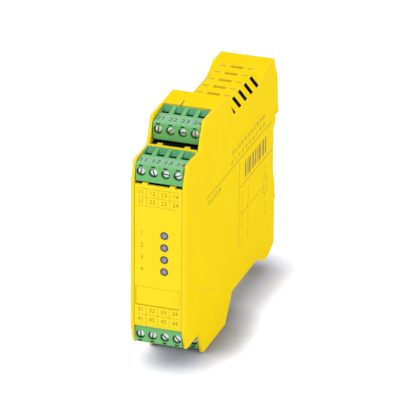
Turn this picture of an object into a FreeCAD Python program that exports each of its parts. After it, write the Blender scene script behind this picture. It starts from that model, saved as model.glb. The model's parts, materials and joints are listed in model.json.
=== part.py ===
import FreeCAD, Part
import math
import os

# Safety relay module in a narrow plastic housing that clips onto a 35 mm mounting rail.
# Two tiers of plug-in screw terminals sit above the front cover and two more below it.
#
# Axes: X runs along the rail, Y from the front of the module to the rail, Z is up.
# Origin: middle of the plane in which the housing seats on the rail flanges.
# All lengths are millimetres. The shapes are drawn with their depth counted from the
# front cover, and write_step moves them so that the rail seat lies at Y = 0.

# --- Terminals -----------------------------------------------------------------------
POLES = 4                   # terminals in one plug
PITCH = 5.0                 # distance between neighbouring terminals
ENTRY_WIDTH = 3.4           # wire entry and clamp chamber, across the plug
END_WALL = 0.4              # plug wall outside the last terminal
SIDE_CLEARANCE = 0.25       # between a plug and the side walls of the housing
FLANK = 1.4                 # side walls of the housing

PLUG_FACE = 7.1             # height of the face that carries the screws
LABEL_RUN = 7.1             # depth of the label strip behind that face
LABEL_RISE = 0.8            # how far the strip climbs towards the rear
ENTRY_RUN = 6.2             # depth of the wire entries behind the strip
ENTRY_RISE = 1.1            # how far their rims climb towards the rear
TAIL_LENGTH = 6.7           # part of the plug that goes into its header
TAIL_HEIGHT = 6.8
TAIL_INSET = 0.65           # the tail is narrower than the plug on each side
PLUG_EDGE = 0.35            # rounding of the upper front edge

SCREW_HEIGHT = 3.9          # screw axis above the underside of the plug
THREAD = 2.5                # screw thread diameter
THREAD_PLAY = 0.05          # radial play in the clamp
HEAD = 3.2                  # screw head diameter
HEAD_LENGTH = 1.6
HEAD_RECESS = 0.4           # head below the plug face
HEAD_PLAY = 0.25            # radial play around the head
HEAD_LEDGE = 1.4            # wall between the head and the clamp chamber
SHANK_SIDES = 8             # flats of the hidden shanks and of the bores around them
SLOT_WIDTH = 0.6            # screwdriver slot
SLOT_DEPTH = 0.7
TEST_SLOT_WIDTH = 1.6       # small test opening beside each screw
TEST_SLOT_HEIGHT = 0.6
TEST_SLOT_OFFSET = 2.5      # its centre from the screw axis
TEST_SLOT_DEPTH = 1.2

CLAMP_WALL = 0.6            # sides of the clamp
CLAMP_NUT = 1.0             # threaded end of the clamp
CLAMP_HEIGHT = 4.2
CLAMP_TRAVEL = 2.6          # from fully open to closed
CLAMP_PLAY = 0.2            # around the clamp in its chamber
WIRE_GAP = 3.0              # open mouth of the clamp behind the blade
BLADE = 0.7                 # contact blade that the wire is pressed against
CONTACT_STRIP = 0.6         # strip thickness of the contact
CONTACT_WIDTH = 2.4
PIN = 0.8                   # square header pin
PIN_HEIGHT = 3.4            # pin axis above the underside of the plug
PIN_PLAY = 0.05
PIN_GRIP = 4.2              # length of the contact leaves along the pin

# --- Plug bays -----------------------------------------------------------------------
PLUG_SETBACK = 1.1          # plug face behind the front cover
BULKHEAD_GAP = 0.8          # between a plug and the bulkhead behind its entries
BULKHEAD = 1.5
BAY_SLOT = 4.1              # from that bulkhead to the face of the next plug
COVER_GAP = 1.1             # between the cover edge and the first plug
TIER_GAP = 0.4              # between the bulkhead edge and the plug that slides over it
BAY_CLEARANCE = 0.3         # around the plug tail and under the plug
BAY_FLOOR = 0.8             # wall under each plug, and the walls of the headers
FLOOR_SETBACK = 3.9         # front edge of that wall behind the plug face
TAB_WIDTH = 2.1             # coding tabs under each plug
TAB_CENTRE = 5.6
TAB_DEPTH = 1.9
HEADER_BACK = 1.6           # rear wall of a header, which holds the pins

# --- Housing -------------------------------------------------------------------------
COVER_HEIGHT = 59.0         # front cover, between the plug bays
COVER_THICKNESS = 1.5
COVER_CLEARANCE = 0.2       # seam between the cover and the side walls
COVER_SKIRT = 8.0           # depth of the cover's side tongues
SKIRT_WALL = 1.0
SKIRT_SETBACK = 2.5         # tongues stop short of the cover's ends
COVER_EDGE = 0.4            # rounding of the cover's rim
RIDGE_LIP = 0.5             # housing top above the rear plug's rims
FLANK_LEAN = 1.6            # side wall tips behind the plug face
FLANK_LEAN_START = 0.4      # where the side walls start to lean, above the plug underside
FLANK_TIP = 8.3             # first tips above the underside of the front plug
STEP_MARGIN = 0.8           # side wall step behind the bulkhead
RIDGE_LEAN = 4.7            # the second tips lean this far back from the step
WALL = 1.6                  # roof, floor and rear walls
RIDGE_LENGTH = 13.7         # flat top behind the rear bulkhead
RIDGE_FALL_DEG = 52.3       # slope behind the ridge
BLOCK_HEIGHT = 84.5         # vented block between ridge and rail
SHOULDER_DROP = 4.25        # the block's side edges are cut down by this much
SHOULDER_WIDTH = 3.65
SHOULDER_TO_SEAT = 21.6     # end of the cut edges, before the rail seat
SHOULDER_RAMP = 8.9         # run of the ramp that ends them
RIM_EDGE = 0.5              # rounding along the side walls

VENT_ROWS = 6
VENT_PITCH = 7.2
VENT_SLOT = 2.4             # slot width, front to back
VENT_SIDE_SLOT = 1.1
VENT_LENGTH = 5.3           # middle slot, across the module
VENT_SIDE_START = 4.45      # side slots, from the middle plane
VENT_SIDE_END = 7.0
VENT_EDGE_START = 8.0       # slots that cross the cut edges
VENT_FIRST = 0.9            # first row behind the foot of the slope
KEY_SLIT_X = -3.0           # narrow slit in the ridge lip
KEY_SLIT_WIDTH = 0.5
KEY_SLIT_LENGTH = 4.3

SEAT_DEPTH = 110.4          # front cover to rail seat
RAIL_HEIGHT = 35.0          # rail, flange edge to flange edge
RAIL_FLANGE = 4.0           # height of one flange
RAIL_THICKNESS = 1.0
RAIL_PLAY = 0.2
SEAT_RECESS = 2.2           # the rear wall steps back between the two seats
RECESS_TOP_SLOPE = 1.2
RECESS_BOTTOM_SLOPE = 6.4
HOOK_GRIP = 0.9             # overlap of the upper hook on the flange
HOOK_POCKET = 0.6           # room above the flange edge, for hooking on
HOOK_REACH = 4.1            # hook lip behind the seat
HOOK_BELLY_HEIGHT = 4.9     # from the lip up to the hook's flat back
HOOK_BACK_HEIGHT = 11.6
HOOK_BACK_REACH = 3.0
HOOK_CROWN_HEIGHT = 3.5
HOOK_CROWN_REACH = 2.0
BLOCK_END = 2.6             # block's flat top ends this far before the seat
HEEL = 2.8                  # chamfer at the lower rear edge
HEEL_RUN = 6.5
BUMP = 1.7                  # small guide bump under the lower flange
BUMP_HEIGHT = 1.2
BUMP_OFFSET = 1.3           # its tip below the flange edge

# --- Rail catch ----------------------------------------------------------------------
CATCH_TRAVEL = 3.5
CATCH_NECK = 13.0           # part that shows in the rear wall
CATCH_WIDTH = 16.0          # part held in the grooves
CATCH_PLAY = 0.3
CATCH_GROOVE = 2.2          # thickness of the held part
CATCH_THICKNESS = 4.7
CATCH_COVER = 0.3           # catch front of the seat plane
CATCH_GRIP = 1.3            # nose overlap on the lower flange
CATCH_NOSE = 2.2            # nose thickness behind the flange
CATCH_NECK_HEIGHT = 2.8
CATCH_END = 1.1             # release end below the block
CATCH_FOOT = 4.0            # solid end below the spring window
CATCH_SLOT = 5.0            # screwdriver slot in the release end
CATCH_BACK_WALL = 2.5       # housing wall in front of the catch
WINDOW_WIDTH = 5.6
SPRING_WIDTH = 4.6
SPRING_DEPTH = 2.4
SPRING_STRIP = 0.4
SPRING_LEGS = 6             # slanting runs of the zigzag
SPRING_SEAT = 0.05          # gap to the peg and to the catch
SPRING_LENGTH = 10.4
SPRING_HEADROOM = 2.4       # spring top below the catch neck, apart from its travel
ANCHOR_HEIGHT = 2.0         # peg that carries the fixed end of the spring

# --- Front details -------------------------------------------------------------------
LENS = 3.1                  # light guide tips
LENS_PLAY = 0.1
LENS_X = 2.55
LENS_TOP = 9.35
LENS_PITCH = 5.08
LENS_COUNT = 4
GUIDE_LENGTH = 10.4         # cover face to the rear end of the light guide
GUIDE_PIPE = 2.2            # square pipes behind the bar
GUIDE_BAR = 3.0             # bar that joins the tips
GUIDE_BAR_START = 3.0       # its front face, behind the cover face
MARKER_WIDTH = 17.7
MARKER_HEIGHT = 7.8
MARKER_X = -0.15
MARKER_Z = -17.3
MARKER_RECESS = 0.9
MARKER_THICKNESS = 0.6
MARKER_PLAY = 0.1

# --- Electronics ---------------------------------------------------------------------
BOARD = 1.6                 # circuit board thickness
BOARD_GAP = 0.35            # board to side wall
BOARD_MARGIN = 0.4          # board edge to headers and floors
DISPLAY_BOARD = 1.2
DISPLAY_HEIGHT = 26.0
LED_WIDTH = 3.2             # surface-mounted lamps
LED_HEIGHT = 2.8
LED_THICKNESS = 1.9
PIN_FIRST_BEND = 1.8        # first pin tail behind its header
PIN_BEND_STEP = 1.6
RELAY_REAR_GAP = 3.0        # relays to the wall of the catch channel
RELAY_HEIGHT = 15.5
RELAY_WIDTH = 16.0
RELAY_GAP = 1.0
RELAY_SETBACK = 3.0         # behind the rear headers' pin tails
RELAY_EDGE = 0.8
CAPACITOR_DIAMETER = 12.5
CAPACITOR_LENGTH = 16.0
CHIP_LENGTH = 12.0
CHIP_HEIGHT = 9.0
CHIP_THICKNESS = 1.5
CHIP_COUNT = 3
CHIP_PITCH = 14.0
OVERSHOOT = 1.0             # cutting tools reach this far past a face

# --- Derived places ------------------------------------------------------------------
PLUG_HEIGHT = PLUG_FACE + LABEL_RISE + ENTRY_RISE
PLUG_BODY = LABEL_RUN + ENTRY_RUN
PLUG_LENGTH = PLUG_BODY + TAIL_LENGTH
PLUG_WIDTH = (POLES - 1) * PITCH + ENTRY_WIDTH + 2 * END_WALL
INNER = PLUG_WIDTH / 2 + SIDE_CLEARANCE
OUTER = INNER + FLANK
TIER_DEPTH = PLUG_BODY + BULKHEAD_GAP + BULKHEAD + BAY_SLOT
TIER_HEIGHT = PLUG_HEIGHT + TIER_GAP
TIER_BASE = COVER_HEIGHT / 2 + COVER_GAP
HALF_HEIGHT = TIER_BASE + TIER_HEIGHT + PLUG_HEIGHT + RIDGE_LIP
BULKHEAD_FRONT = PLUG_SETBACK + PLUG_BODY + BULKHEAD_GAP
RIDGE_FRONT = BULKHEAD_FRONT + TIER_DEPTH
RIDGE_END = RIDGE_FRONT + RIDGE_LENGTH
BLOCK_HALF = BLOCK_HEIGHT / 2
SHOULDER_HALF = BLOCK_HALF - SHOULDER_DROP
FALL = math.tan(math.radians(RIDGE_FALL_DEG))
SLOPE_FOOT = RIDGE_END + (HALF_HEIGHT - SHOULDER_HALF) / FALL
BLOCK_START = RIDGE_END + (HALF_HEIGHT - BLOCK_HALF) / FALL
RAIL_HALF = RAIL_HEIGHT / 2
HEADER_FRONT = PLUG_BODY + BULKHEAD_GAP + BULKHEAD + BAY_CLEARANCE
HEADER_END = PLUG_LENGTH + BAY_CLEARANCE + HEADER_BACK
CHAMBER_FRONT = HEAD_RECESS + HEAD_LENGTH + HEAD_LEDGE
CLAMP_FRONT = CHAMBER_FRONT + CLAMP_PLAY + CLAMP_TRAVEL
BLADE_FRONT = CLAMP_FRONT + CLAMP_NUT + BLADE
CLAMP_END = BLADE_FRONT + BLADE + WIRE_GAP + CLAMP_NUT
CHAMBER_END = CLAMP_END + CLAMP_PLAY
CATCH_FACE = SEAT_DEPTH - CATCH_COVER
CATCH_BACK = CATCH_FACE - CATCH_THICKNESS
SPRING_TOP = -RAIL_HALF - CATCH_NECK_HEIGHT - SPRING_HEADROOM - CATCH_TRAVEL
SPRING_BOTTOM = SPRING_TOP - SPRING_LENGTH
BOARD_SIDE = BOARD_GAP + BOARD - INNER
BEYOND = HALF_HEIGHT + OVERSHOOT

TIERS = {"front": 0, "rear": 1}
ENDS = {"top": 0, "bottom": 180}


def vec(x, y, z):
    return FreeCAD.Vector(x, y, z)


def block(x0, x1, y0, y1, z0, z1):
    """Box between two limits on each axis."""
    return Part.makeBox(x1 - x0, y1 - y0, z1 - z0, vec(x0, y0, z0))


def side_face(points):
    """Face in the side view, from (depth, height) corners."""
    corners = [vec(0, depth, height) for depth, height in points]
    return Part.Face(Part.makePolygon(corners + corners[:1]))


def across(face, x0, x1):
    """Side view face extruded across the module from x0 to x1."""
    moved = face.copy()
    moved.translate(vec(x0, 0, 0))
    return moved.extrude(vec(x1 - x0, 0, 0))


def side_profile(points, half_width):
    """Symmetric prism with the given side view."""
    return across(side_face(points), -half_width, half_width)


def rod(diameter, x, z, y0, y1):
    """Round rod along the depth axis."""
    return Part.makeCylinder(diameter / 2, y1 - y0, vec(x, y0, z), vec(0, 1, 0))


def mirrored_pair(shape):
    """The shape together with its copy turned upside down."""
    turned = shape.copy()
    turned.rotate(vec(0, 0, 0), vec(0, 1, 0), 180)
    return [shape, turned]


def placed(shape, tier, end):
    """Plug-bay shape moved to its tier, above or below the front cover."""
    moved = shape.copy()
    moved.translate(vec(0, PLUG_SETBACK + tier * TIER_DEPTH, TIER_BASE + tier * TIER_HEIGHT))
    moved.rotate(vec(0, 0, 0), vec(0, 1, 0), ENDS[end])
    return moved


def pole_x():
    """Distance of each terminal from the middle plane."""
    return [(pole - (POLES - 1) / 2) * PITCH for pole in range(POLES)]


def shank_prism(radius, x, z, y0, y1):
    """Prism along the depth axis, with its corners at the given radius."""
    angles = [(2 * side + 1) * math.pi / SHANK_SIDES for side in range(SHANK_SIDES)]
    corners = [vec(x + radius * math.cos(a), y0, z + radius * math.sin(a)) for a in angles]
    return Part.Face(Part.makePolygon(corners + corners[:1])).extrude(vec(0, y1 - y0, 0))


def shank_bore(play, x, z, y0, y1):
    """Cutter for the bore around a screw shank, with flats that clear the thread."""
    radius = (THREAD / 2 + play) / math.cos(math.pi / SHANK_SIDES)
    return shank_prism(radius, x, z, y0, y1)


def edges_where(shape, wanted):
    """Edges of the shape whose two ends satisfy the wanted rule."""
    return [edge for edge in shape.Edges if all(wanted(v.Point) for v in edge.Vertexes)]


def bevelled(shape, bevel, wanted):
    """Bevel on every edge whose two ends satisfy the wanted rule."""
    return shape.makeChamfer(bevel, edges_where(shape, wanted))


# --- Housing -------------------------------------------------------------------------
def upper_front_outline():
    """Upper edge of the side walls, from the front edge to the block."""
    tip = TIER_BASE + FLANK_TIP
    step = BULKHEAD_FRONT + BULKHEAD + STEP_MARGIN
    return [
        (0, TIER_BASE + FLANK_LEAN_START),
        (PLUG_SETBACK + FLANK_LEAN, tip),
        (step, tip),
        (step + RIDGE_LEAN, HALF_HEIGHT),
        (RIDGE_END, HALF_HEIGHT),
        (BLOCK_START, BLOCK_HALF),
    ]


def rear_outline():
    """Rear edge of the housing from top to bottom: hook, seats, recess and guide bump."""
    lip = RAIL_HALF - HOOK_GRIP
    belly = lip + HOOK_BELLY_HEIGHT
    back = belly + HOOK_BACK_HEIGHT
    slot = SEAT_DEPTH + RAIL_THICKNESS + RAIL_PLAY
    bump = -RAIL_HALF - BUMP_OFFSET
    inner_edge = RAIL_HALF - RAIL_FLANGE
    return [
        (SEAT_DEPTH - BLOCK_END, BLOCK_HALF),
        (SEAT_DEPTH, back + HOOK_CROWN_HEIGHT),
        (SEAT_DEPTH + HOOK_CROWN_REACH, back),
        (SEAT_DEPTH + HOOK_BACK_REACH, belly),
        (SEAT_DEPTH + HOOK_REACH, lip),
        (slot, lip),
        (slot, RAIL_HALF + HOOK_POCKET),
        (SEAT_DEPTH, RAIL_HALF + HOOK_POCKET),
        (SEAT_DEPTH, inner_edge),
        (SEAT_DEPTH - SEAT_RECESS, inner_edge - RECESS_TOP_SLOPE),
        (SEAT_DEPTH - SEAT_RECESS, RECESS_BOTTOM_SLOPE - inner_edge),
        (SEAT_DEPTH, -inner_edge),
        (SEAT_DEPTH, bump + BUMP_HEIGHT),
        (SEAT_DEPTH + BUMP, bump),
        (SEAT_DEPTH, bump - BUMP_HEIGHT),
        (SEAT_DEPTH, HEEL - BLOCK_HALF),
        (SEAT_DEPTH - HEEL_RUN, -BLOCK_HALF),
    ]


def shoulder_cut(margin):
    """Wedge that cuts one upper side edge of the block, grown by a margin."""
    half_top = BEYOND
    run_back = (half_top - SHOULDER_HALF) / FALL
    start = SEAT_DEPTH - SHOULDER_TO_SEAT
    ramp = SHOULDER_DROP / SHOULDER_RAMP
    side = side_face([
        (SLOPE_FOOT, SHOULDER_HALF),
        (start, SHOULDER_HALF),
        (start + (half_top - SHOULDER_HALF) / ramp, half_top),
        (SLOPE_FOOT - run_back, half_top),
    ])
    steep = SHOULDER_DROP / SHOULDER_WIDTH
    reach = 3 * SHOULDER_WIDTH
    section = Part.Face(Part.makePolygon([
        vec(OUTER + reach, 0, SHOULDER_HALF - reach * steep),
        vec(OUTER - reach, 0, SHOULDER_HALF + reach * steep),
        vec(OUTER + reach, 0, SHOULDER_HALF + reach * steep),
        vec(OUTER + reach, 0, SHOULDER_HALF - reach * steep),
    ]))
    if margin:
        side = side.makeOffset2D(margin, 2)
        section = section.makeOffset2D(margin, 2)
    wedge = across(side, 0, OUTER + reach)
    return wedge.common(section.extrude(vec(0, 2 * SEAT_DEPTH, 0)))


def shoulder_cuts(margin):
    """The wedges of all four side edges."""
    right = shoulder_cut(margin)
    left = right.mirror(vec(0, 0, 0), vec(1, 0, 0))
    return mirrored_pair(right) + mirrored_pair(left)


def catch_channel():
    """T-shaped groove in the rear wall, in which the rail catch slides."""
    top = -RAIL_HALF + CATCH_GRIP + CATCH_PLAY
    groove = CATCH_BACK + CATCH_GROOVE + CATCH_PLAY
    wide = CATCH_WIDTH / 2 + CATCH_PLAY
    neck = CATCH_NECK / 2 + CATCH_PLAY
    return [
        block(-wide, wide, CATCH_BACK - CATCH_PLAY, groove, -BEYOND, top),
        block(-neck, neck, CATCH_BACK - CATCH_PLAY, SEAT_DEPTH + BUMP + OVERSHOOT, -BEYOND, top),
    ]


def cavity():
    """Space for the electronics behind the plug bays."""
    roof = side_face([
        (RIDGE_FRONT, -HALF_HEIGHT), (RIDGE_END, -HALF_HEIGHT),
        (BLOCK_START, -BLOCK_HALF), (SEAT_DEPTH - SEAT_RECESS, -BLOCK_HALF),
        (SEAT_DEPTH - SEAT_RECESS, BLOCK_HALF), (BLOCK_START, BLOCK_HALF),
        (RIDGE_END, HALF_HEIGHT), (RIDGE_FRONT, HALF_HEIGHT),
    ])
    space = across(roof.makeOffset2D(-WALL, 2), -INNER, INNER)
    for wedge in shoulder_cuts(WALL):
        space = space.cut(wedge)
    catch_wall = CATCH_BACK - CATCH_BACK_WALL
    catch_top = -RAIL_HALF + CATCH_GRIP + CATCH_PLAY + CATCH_BACK_WALL
    return space.cut(block(-OUTER, OUTER, catch_wall, SEAT_DEPTH, -HALF_HEIGHT, catch_top))


def vent_slots():
    """Ventilation slots in the top of the block, in rows from the slope to the rail."""
    slots = []
    ramp_end = SEAT_DEPTH - SHOULDER_TO_SEAT + SHOULDER_RAMP
    for row in range(VENT_ROWS):
        depth = SLOPE_FOOT + VENT_FIRST + row * VENT_PITCH
        low, high = BLOCK_HALF - WALL - OVERSHOOT, BLOCK_HALF + OVERSHOOT
        wide, narrow = VENT_SLOT / 2, VENT_SIDE_SLOT / 2
        slots.append(block(-VENT_LENGTH / 2, VENT_LENGTH / 2, depth - wide, depth + wide, low, high))
        for sign in (-1, 1):
            x0, x1 = sorted((sign * VENT_SIDE_START, sign * VENT_SIDE_END))
            slots.append(block(x0, x1, depth - narrow, depth + narrow, low, high))
            if depth + wide < ramp_end - SHOULDER_RAMP / 2:
                x0, x1 = sorted((sign * VENT_EDGE_START, sign * (OUTER + OVERSHOOT)))
                edge = block(x0, x1, depth - wide, depth + wide, SHOULDER_HALF + RIM_EDGE / 2, high)
                slots.append(edge)
    return slots


def bay_walls():
    """Floors, bulkhead and coding tabs of the upper plug bays, between the side walls."""
    walls = []
    for tier in TIERS.values():
        face = PLUG_SETBACK + tier * TIER_DEPTH
        base = TIER_BASE + tier * TIER_HEIGHT
        floor_top = base - BAY_CLEARANCE
        header = face + HEADER_FRONT - BAY_CLEARANCE
        walls.append(block(-INNER, INNER, face + FLOOR_SETBACK, header, floor_top - BAY_FLOOR, floor_top))
    front = BULKHEAD_FRONT
    lintel = TIER_BASE + TAIL_HEIGHT + BAY_CLEARANCE
    edge = TIER_BASE + PLUG_HEIGHT
    walls.append(block(-INNER, INNER, front, front + BULKHEAD, lintel, edge))
    over_header = lintel + BAY_FLOOR + BAY_CLEARANCE
    for x in (-TAB_CENTRE, TAB_CENTRE):
        walls.append(block(x - TAB_WIDTH / 2, x + TAB_WIDTH / 2, front + BULKHEAD / 2,
                           front + BULKHEAD + TAB_DEPTH, over_header, edge))
    return walls


def make_housing():
    """Main moulding: side walls, ridges, vented block, rail hook and catch channel."""
    upper = upper_front_outline()
    lower = [(depth, -height) for depth, height in reversed(upper)]
    body = side_profile(upper + rear_outline() + lower, OUTER)
    body = bevelled(body, RIM_EDGE, lambda p: abs(abs(p.x) - OUTER) < 1e-6 and p.y < BLOCK_START - 1e-6)
    for wedge in shoulder_cuts(0):
        body = body.cut(wedge)
    mouth = HALF_HEIGHT - RIDGE_LIP - PLUG_HEIGHT + TAIL_HEIGHT + BAY_CLEARANCE
    body = body.cut(block(-INNER, INNER, -OVERSHOOT, RIDGE_FRONT, -BEYOND, BEYOND))
    body = body.cut(block(-INNER, INNER, -OVERSHOOT, RIDGE_FRONT + WALL + OVERSHOOT, -mouth, mouth))
    body = body.cut(cavity())
    for wall in bay_walls():
        for copy in mirrored_pair(wall):
            body = body.fuse(copy)
    for slot in vent_slots():
        for copy in mirrored_pair(slot):
            body = body.cut(copy)
    slit_x = KEY_SLIT_X - KEY_SLIT_WIDTH / 2
    slit = block(slit_x, slit_x + KEY_SLIT_WIDTH, RIDGE_FRONT - OVERSHOOT, RIDGE_FRONT + KEY_SLIT_LENGTH,
                 HALF_HEIGHT - WALL - OVERSHOOT, BEYOND)
    body = body.cut(slit).cut(slit.mirror(vec(0, 0, 0), vec(0, 0, 1)))
    for groove in catch_channel():
        body = body.cut(groove)
    return body.fuse(spring_anchor()).removeSplitter()


def spring_anchor():
    """Peg on the channel floor that carries the fixed end of the catch spring."""
    half = WINDOW_WIDTH / 2 - CATCH_PLAY
    return block(-half, half, CATCH_BACK - CATCH_PLAY, CATCH_FACE - CATCH_PLAY,
                 SPRING_BOTTOM - ANCHOR_HEIGHT, SPRING_BOTTOM)


def make_cover():
    """Front cover with its side tongues, lens holes, marker recess and coding tabs."""
    half_width = INNER - COVER_CLEARANCE
    half_height = COVER_HEIGHT / 2
    panel = block(-half_width, half_width, 0, COVER_THICKNESS, -half_height, half_height)
    cover = bevelled(panel, COVER_EDGE, lambda p: abs(p.y) < 1e-6)
    tongue_half = half_height - SKIRT_SETBACK
    for x0 in (-half_width, half_width - SKIRT_WALL):
        cover = cover.fuse(block(x0, x0 + SKIRT_WALL, COVER_THICKNESS, COVER_THICKNESS + COVER_SKIRT,
                                 -tongue_half, tongue_half))
    for x in (-TAB_CENTRE, TAB_CENTRE):
        for sign in (-1, 1):
            z0, z1 = sorted((sign * (half_height - BULKHEAD), sign * (TIER_BASE - BAY_CLEARANCE)))
            cover = cover.fuse(block(x - TAB_WIDTH / 2, x + TAB_WIDTH / 2,
                                     COVER_EDGE, COVER_EDGE + TAB_DEPTH, z0, z1))
    for z in lens_heights():
        cover = cover.cut(rod(LENS + 2 * LENS_PLAY, LENS_X, z, -OVERSHOOT, COVER_THICKNESS + OVERSHOOT))
    recess_x, recess_z = MARKER_WIDTH / 2 + MARKER_PLAY, MARKER_HEIGHT / 2 + MARKER_PLAY
    recess = block(MARKER_X - recess_x, MARKER_X + recess_x, -OVERSHOOT, MARKER_RECESS,
                   MARKER_Z - recess_z, MARKER_Z + recess_z)
    return cover.cut(recess).removeSplitter()


def make_marker():
    """Blank marking plate that lies in the recess of the cover."""
    return block(MARKER_X - MARKER_WIDTH / 2, MARKER_X + MARKER_WIDTH / 2,
                 MARKER_RECESS - MARKER_THICKNESS, MARKER_RECESS,
                 MARKER_Z - MARKER_HEIGHT / 2, MARKER_Z + MARKER_HEIGHT / 2)


def lens_heights():
    """Height of each light guide tip."""
    return [LENS_TOP - index * LENS_PITCH for index in range(LENS_COUNT)]


def make_light_guide():
    """Clear moulding whose round tips carry the light through the cover."""
    low, high = lens_heights()[-1], lens_heights()[0]
    half, pipe = LENS / 2, GUIDE_PIPE / 2
    bar_end = GUIDE_BAR_START + GUIDE_BAR
    guide = block(LENS_X - half, LENS_X + half, GUIDE_BAR_START, bar_end, low - half, high + half)
    for z in lens_heights():
        guide = guide.fuse(rod(LENS, LENS_X, z, 0, GUIDE_BAR_START))
        guide = guide.fuse(block(LENS_X - pipe, LENS_X + pipe, bar_end, GUIDE_LENGTH, z - pipe, z + pipe))
    return guide.removeSplitter()


# --- Plugs ---------------------------------------------------------------------------
def make_plug_body():
    """Green moulding of one plug: screw bores, clamp chambers, entries and pin sockets."""
    half = PLUG_WIDTH / 2
    body = side_profile([
        (0, 0), (0, PLUG_FACE), (LABEL_RUN, PLUG_FACE + LABEL_RISE), (PLUG_BODY, PLUG_HEIGHT),
        (PLUG_BODY, TAIL_HEIGHT), (PLUG_LENGTH, TAIL_HEIGHT), (PLUG_LENGTH, 0),
    ], half)
    body = bevelled(body, PLUG_EDGE, lambda p: abs(p.y) < 1e-6 and abs(p.z - PLUG_FACE) < 1e-6)
    for x0, x1 in ((-half - OVERSHOOT, TAIL_INSET - half), (half - TAIL_INSET, half + OVERSHOOT)):
        body = body.cut(block(x0, x1, PLUG_BODY, PLUG_LENGTH + OVERSHOOT,
                              -OVERSHOOT, TAIL_HEIGHT + OVERSHOOT))
    chamber_low = SCREW_HEIGHT - CLAMP_HEIGHT / 2 - 2 * CLAMP_PLAY - CONTACT_STRIP
    chamber_top = SCREW_HEIGHT + CLAMP_HEIGHT / 2 + CLAMP_PLAY
    wire_start = BLADE_FRONT + BLADE
    entry = side_face([
        (LABEL_RUN + END_WALL, PLUG_HEIGHT + OVERSHOOT), (PLUG_BODY - END_WALL, PLUG_HEIGHT + OVERSHOOT),
        (PLUG_BODY - END_WALL, PLUG_HEIGHT - END_WALL),
        (CHAMBER_END - 2 * CLAMP_NUT, chamber_top - CLAMP_PLAY), (wire_start, chamber_top - CLAMP_PLAY),
        (LABEL_RUN + END_WALL, PLUG_FACE + END_WALL),
    ])
    socket_half = CONTACT_WIDTH / 2 + CLAMP_PLAY / 2
    leaf_top = PIN_HEIGHT + PIN / 2 + PIN_PLAY + CONTACT_STRIP
    pin_hole = PIN / 2 + CLAMP_PLAY
    for x in pole_x():
        x0, x1 = x - ENTRY_WIDTH / 2, x + ENTRY_WIDTH / 2
        cuts = [
            across(entry, x0, x1),
            block(x0, x1, CHAMBER_FRONT, CHAMBER_END, chamber_low, chamber_top),
            block(x - socket_half, x + socket_half, CHAMBER_END - CLAMP_PLAY, PLUG_LENGTH - BAY_FLOOR,
                  chamber_low, leaf_top + CLAMP_PLAY),
            block(x - pin_hole, x + pin_hole, PLUG_LENGTH - BAY_FLOOR - OVERSHOOT, PLUG_LENGTH + OVERSHOOT,
                  PIN_HEIGHT - pin_hole, PIN_HEIGHT + pin_hole),
            rod(HEAD + 2 * HEAD_PLAY, x, SCREW_HEIGHT, -OVERSHOOT, HEAD_RECESS + HEAD_LENGTH + HEAD_PLAY),
            shank_bore(HEAD_PLAY, x, SCREW_HEIGHT, HEAD_RECESS, CHAMBER_FRONT + CLAMP_PLAY),
            block(x - TEST_SLOT_WIDTH / 2, x + TEST_SLOT_WIDTH / 2, -OVERSHOOT, TEST_SLOT_DEPTH,
                  SCREW_HEIGHT + TEST_SLOT_OFFSET - TEST_SLOT_HEIGHT / 2,
                  SCREW_HEIGHT + TEST_SLOT_OFFSET + TEST_SLOT_HEIGHT / 2),
        ]
        for tool in cuts:
            body = body.cut(tool)
    return body


def make_contacts():
    """Contact strips of one plug: a blade for the wire and two leaves for the header pin."""
    low = SCREW_HEIGHT - CLAMP_HEIGHT / 2 - CLAMP_PLAY - CONTACT_STRIP
    top = SCREW_HEIGHT + CLAMP_HEIGHT / 2 - CLAMP_PLAY
    leaf_end = PLUG_LENGTH - BAY_FLOOR - CLAMP_PLAY
    web = leaf_end - PIN_GRIP
    under, over = PIN_HEIGHT - PIN / 2 - PIN_PLAY, PIN_HEIGHT + PIN / 2 + PIN_PLAY
    profile = side_face([
        (BLADE_FRONT, low), (web, low), (web, under - CONTACT_STRIP), (leaf_end, under - CONTACT_STRIP),
        (leaf_end, under), (web, under), (web, over), (leaf_end, over),
        (leaf_end, over + CONTACT_STRIP), (web - CONTACT_STRIP, over + CONTACT_STRIP),
        (web - CONTACT_STRIP, low + CONTACT_STRIP), (BLADE_FRONT + BLADE, low + CONTACT_STRIP),
        (BLADE_FRONT + BLADE, top), (BLADE_FRONT, top),
    ])
    half = CONTACT_WIDTH / 2
    return Part.makeCompound([across(profile, x - half, x + half) for x in pole_x()])


def make_screw(x, angle):
    """Captive clamp screw with a slotted head, its slot turned by an angle."""
    head_end = HEAD_RECESS + HEAD_LENGTH
    head = rod(HEAD, x, SCREW_HEIGHT, HEAD_RECESS, head_end)
    shank = shank_prism(THREAD / 2, x, SCREW_HEIGHT, head_end, BLADE_FRONT - THREAD_PLAY)
    slot = block(x - HEAD, x + HEAD, 0, HEAD_RECESS + SLOT_DEPTH,
                 SCREW_HEIGHT - SLOT_WIDTH / 2, SCREW_HEIGHT + SLOT_WIDTH / 2)
    slot.rotate(vec(x, 0, SCREW_HEIGHT), vec(0, 1, 0), angle)
    return head.fuse(shank).cut(slot).removeSplitter()


def make_clamp(x):
    """Clamp cage: a square loop with a threaded end, drawn forward by its screw."""
    half = ENTRY_WIDTH / 2 - CLAMP_PLAY / 2
    low, top = SCREW_HEIGHT - CLAMP_HEIGHT / 2, SCREW_HEIGHT + CLAMP_HEIGHT / 2
    cage = block(x - half, x + half, CLAMP_FRONT, CLAMP_END, low, top)
    inner = half - CLAMP_WALL / 2
    cage = cage.cut(block(x - inner, x + inner, CLAMP_FRONT + CLAMP_NUT, CLAMP_END - CLAMP_NUT,
                          low - OVERSHOOT, top + OVERSHOOT))
    return cage.cut(shank_bore(THREAD_PLAY, x, SCREW_HEIGHT, 0, CLAMP_FRONT + CLAMP_NUT + OVERSHOOT))


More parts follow.
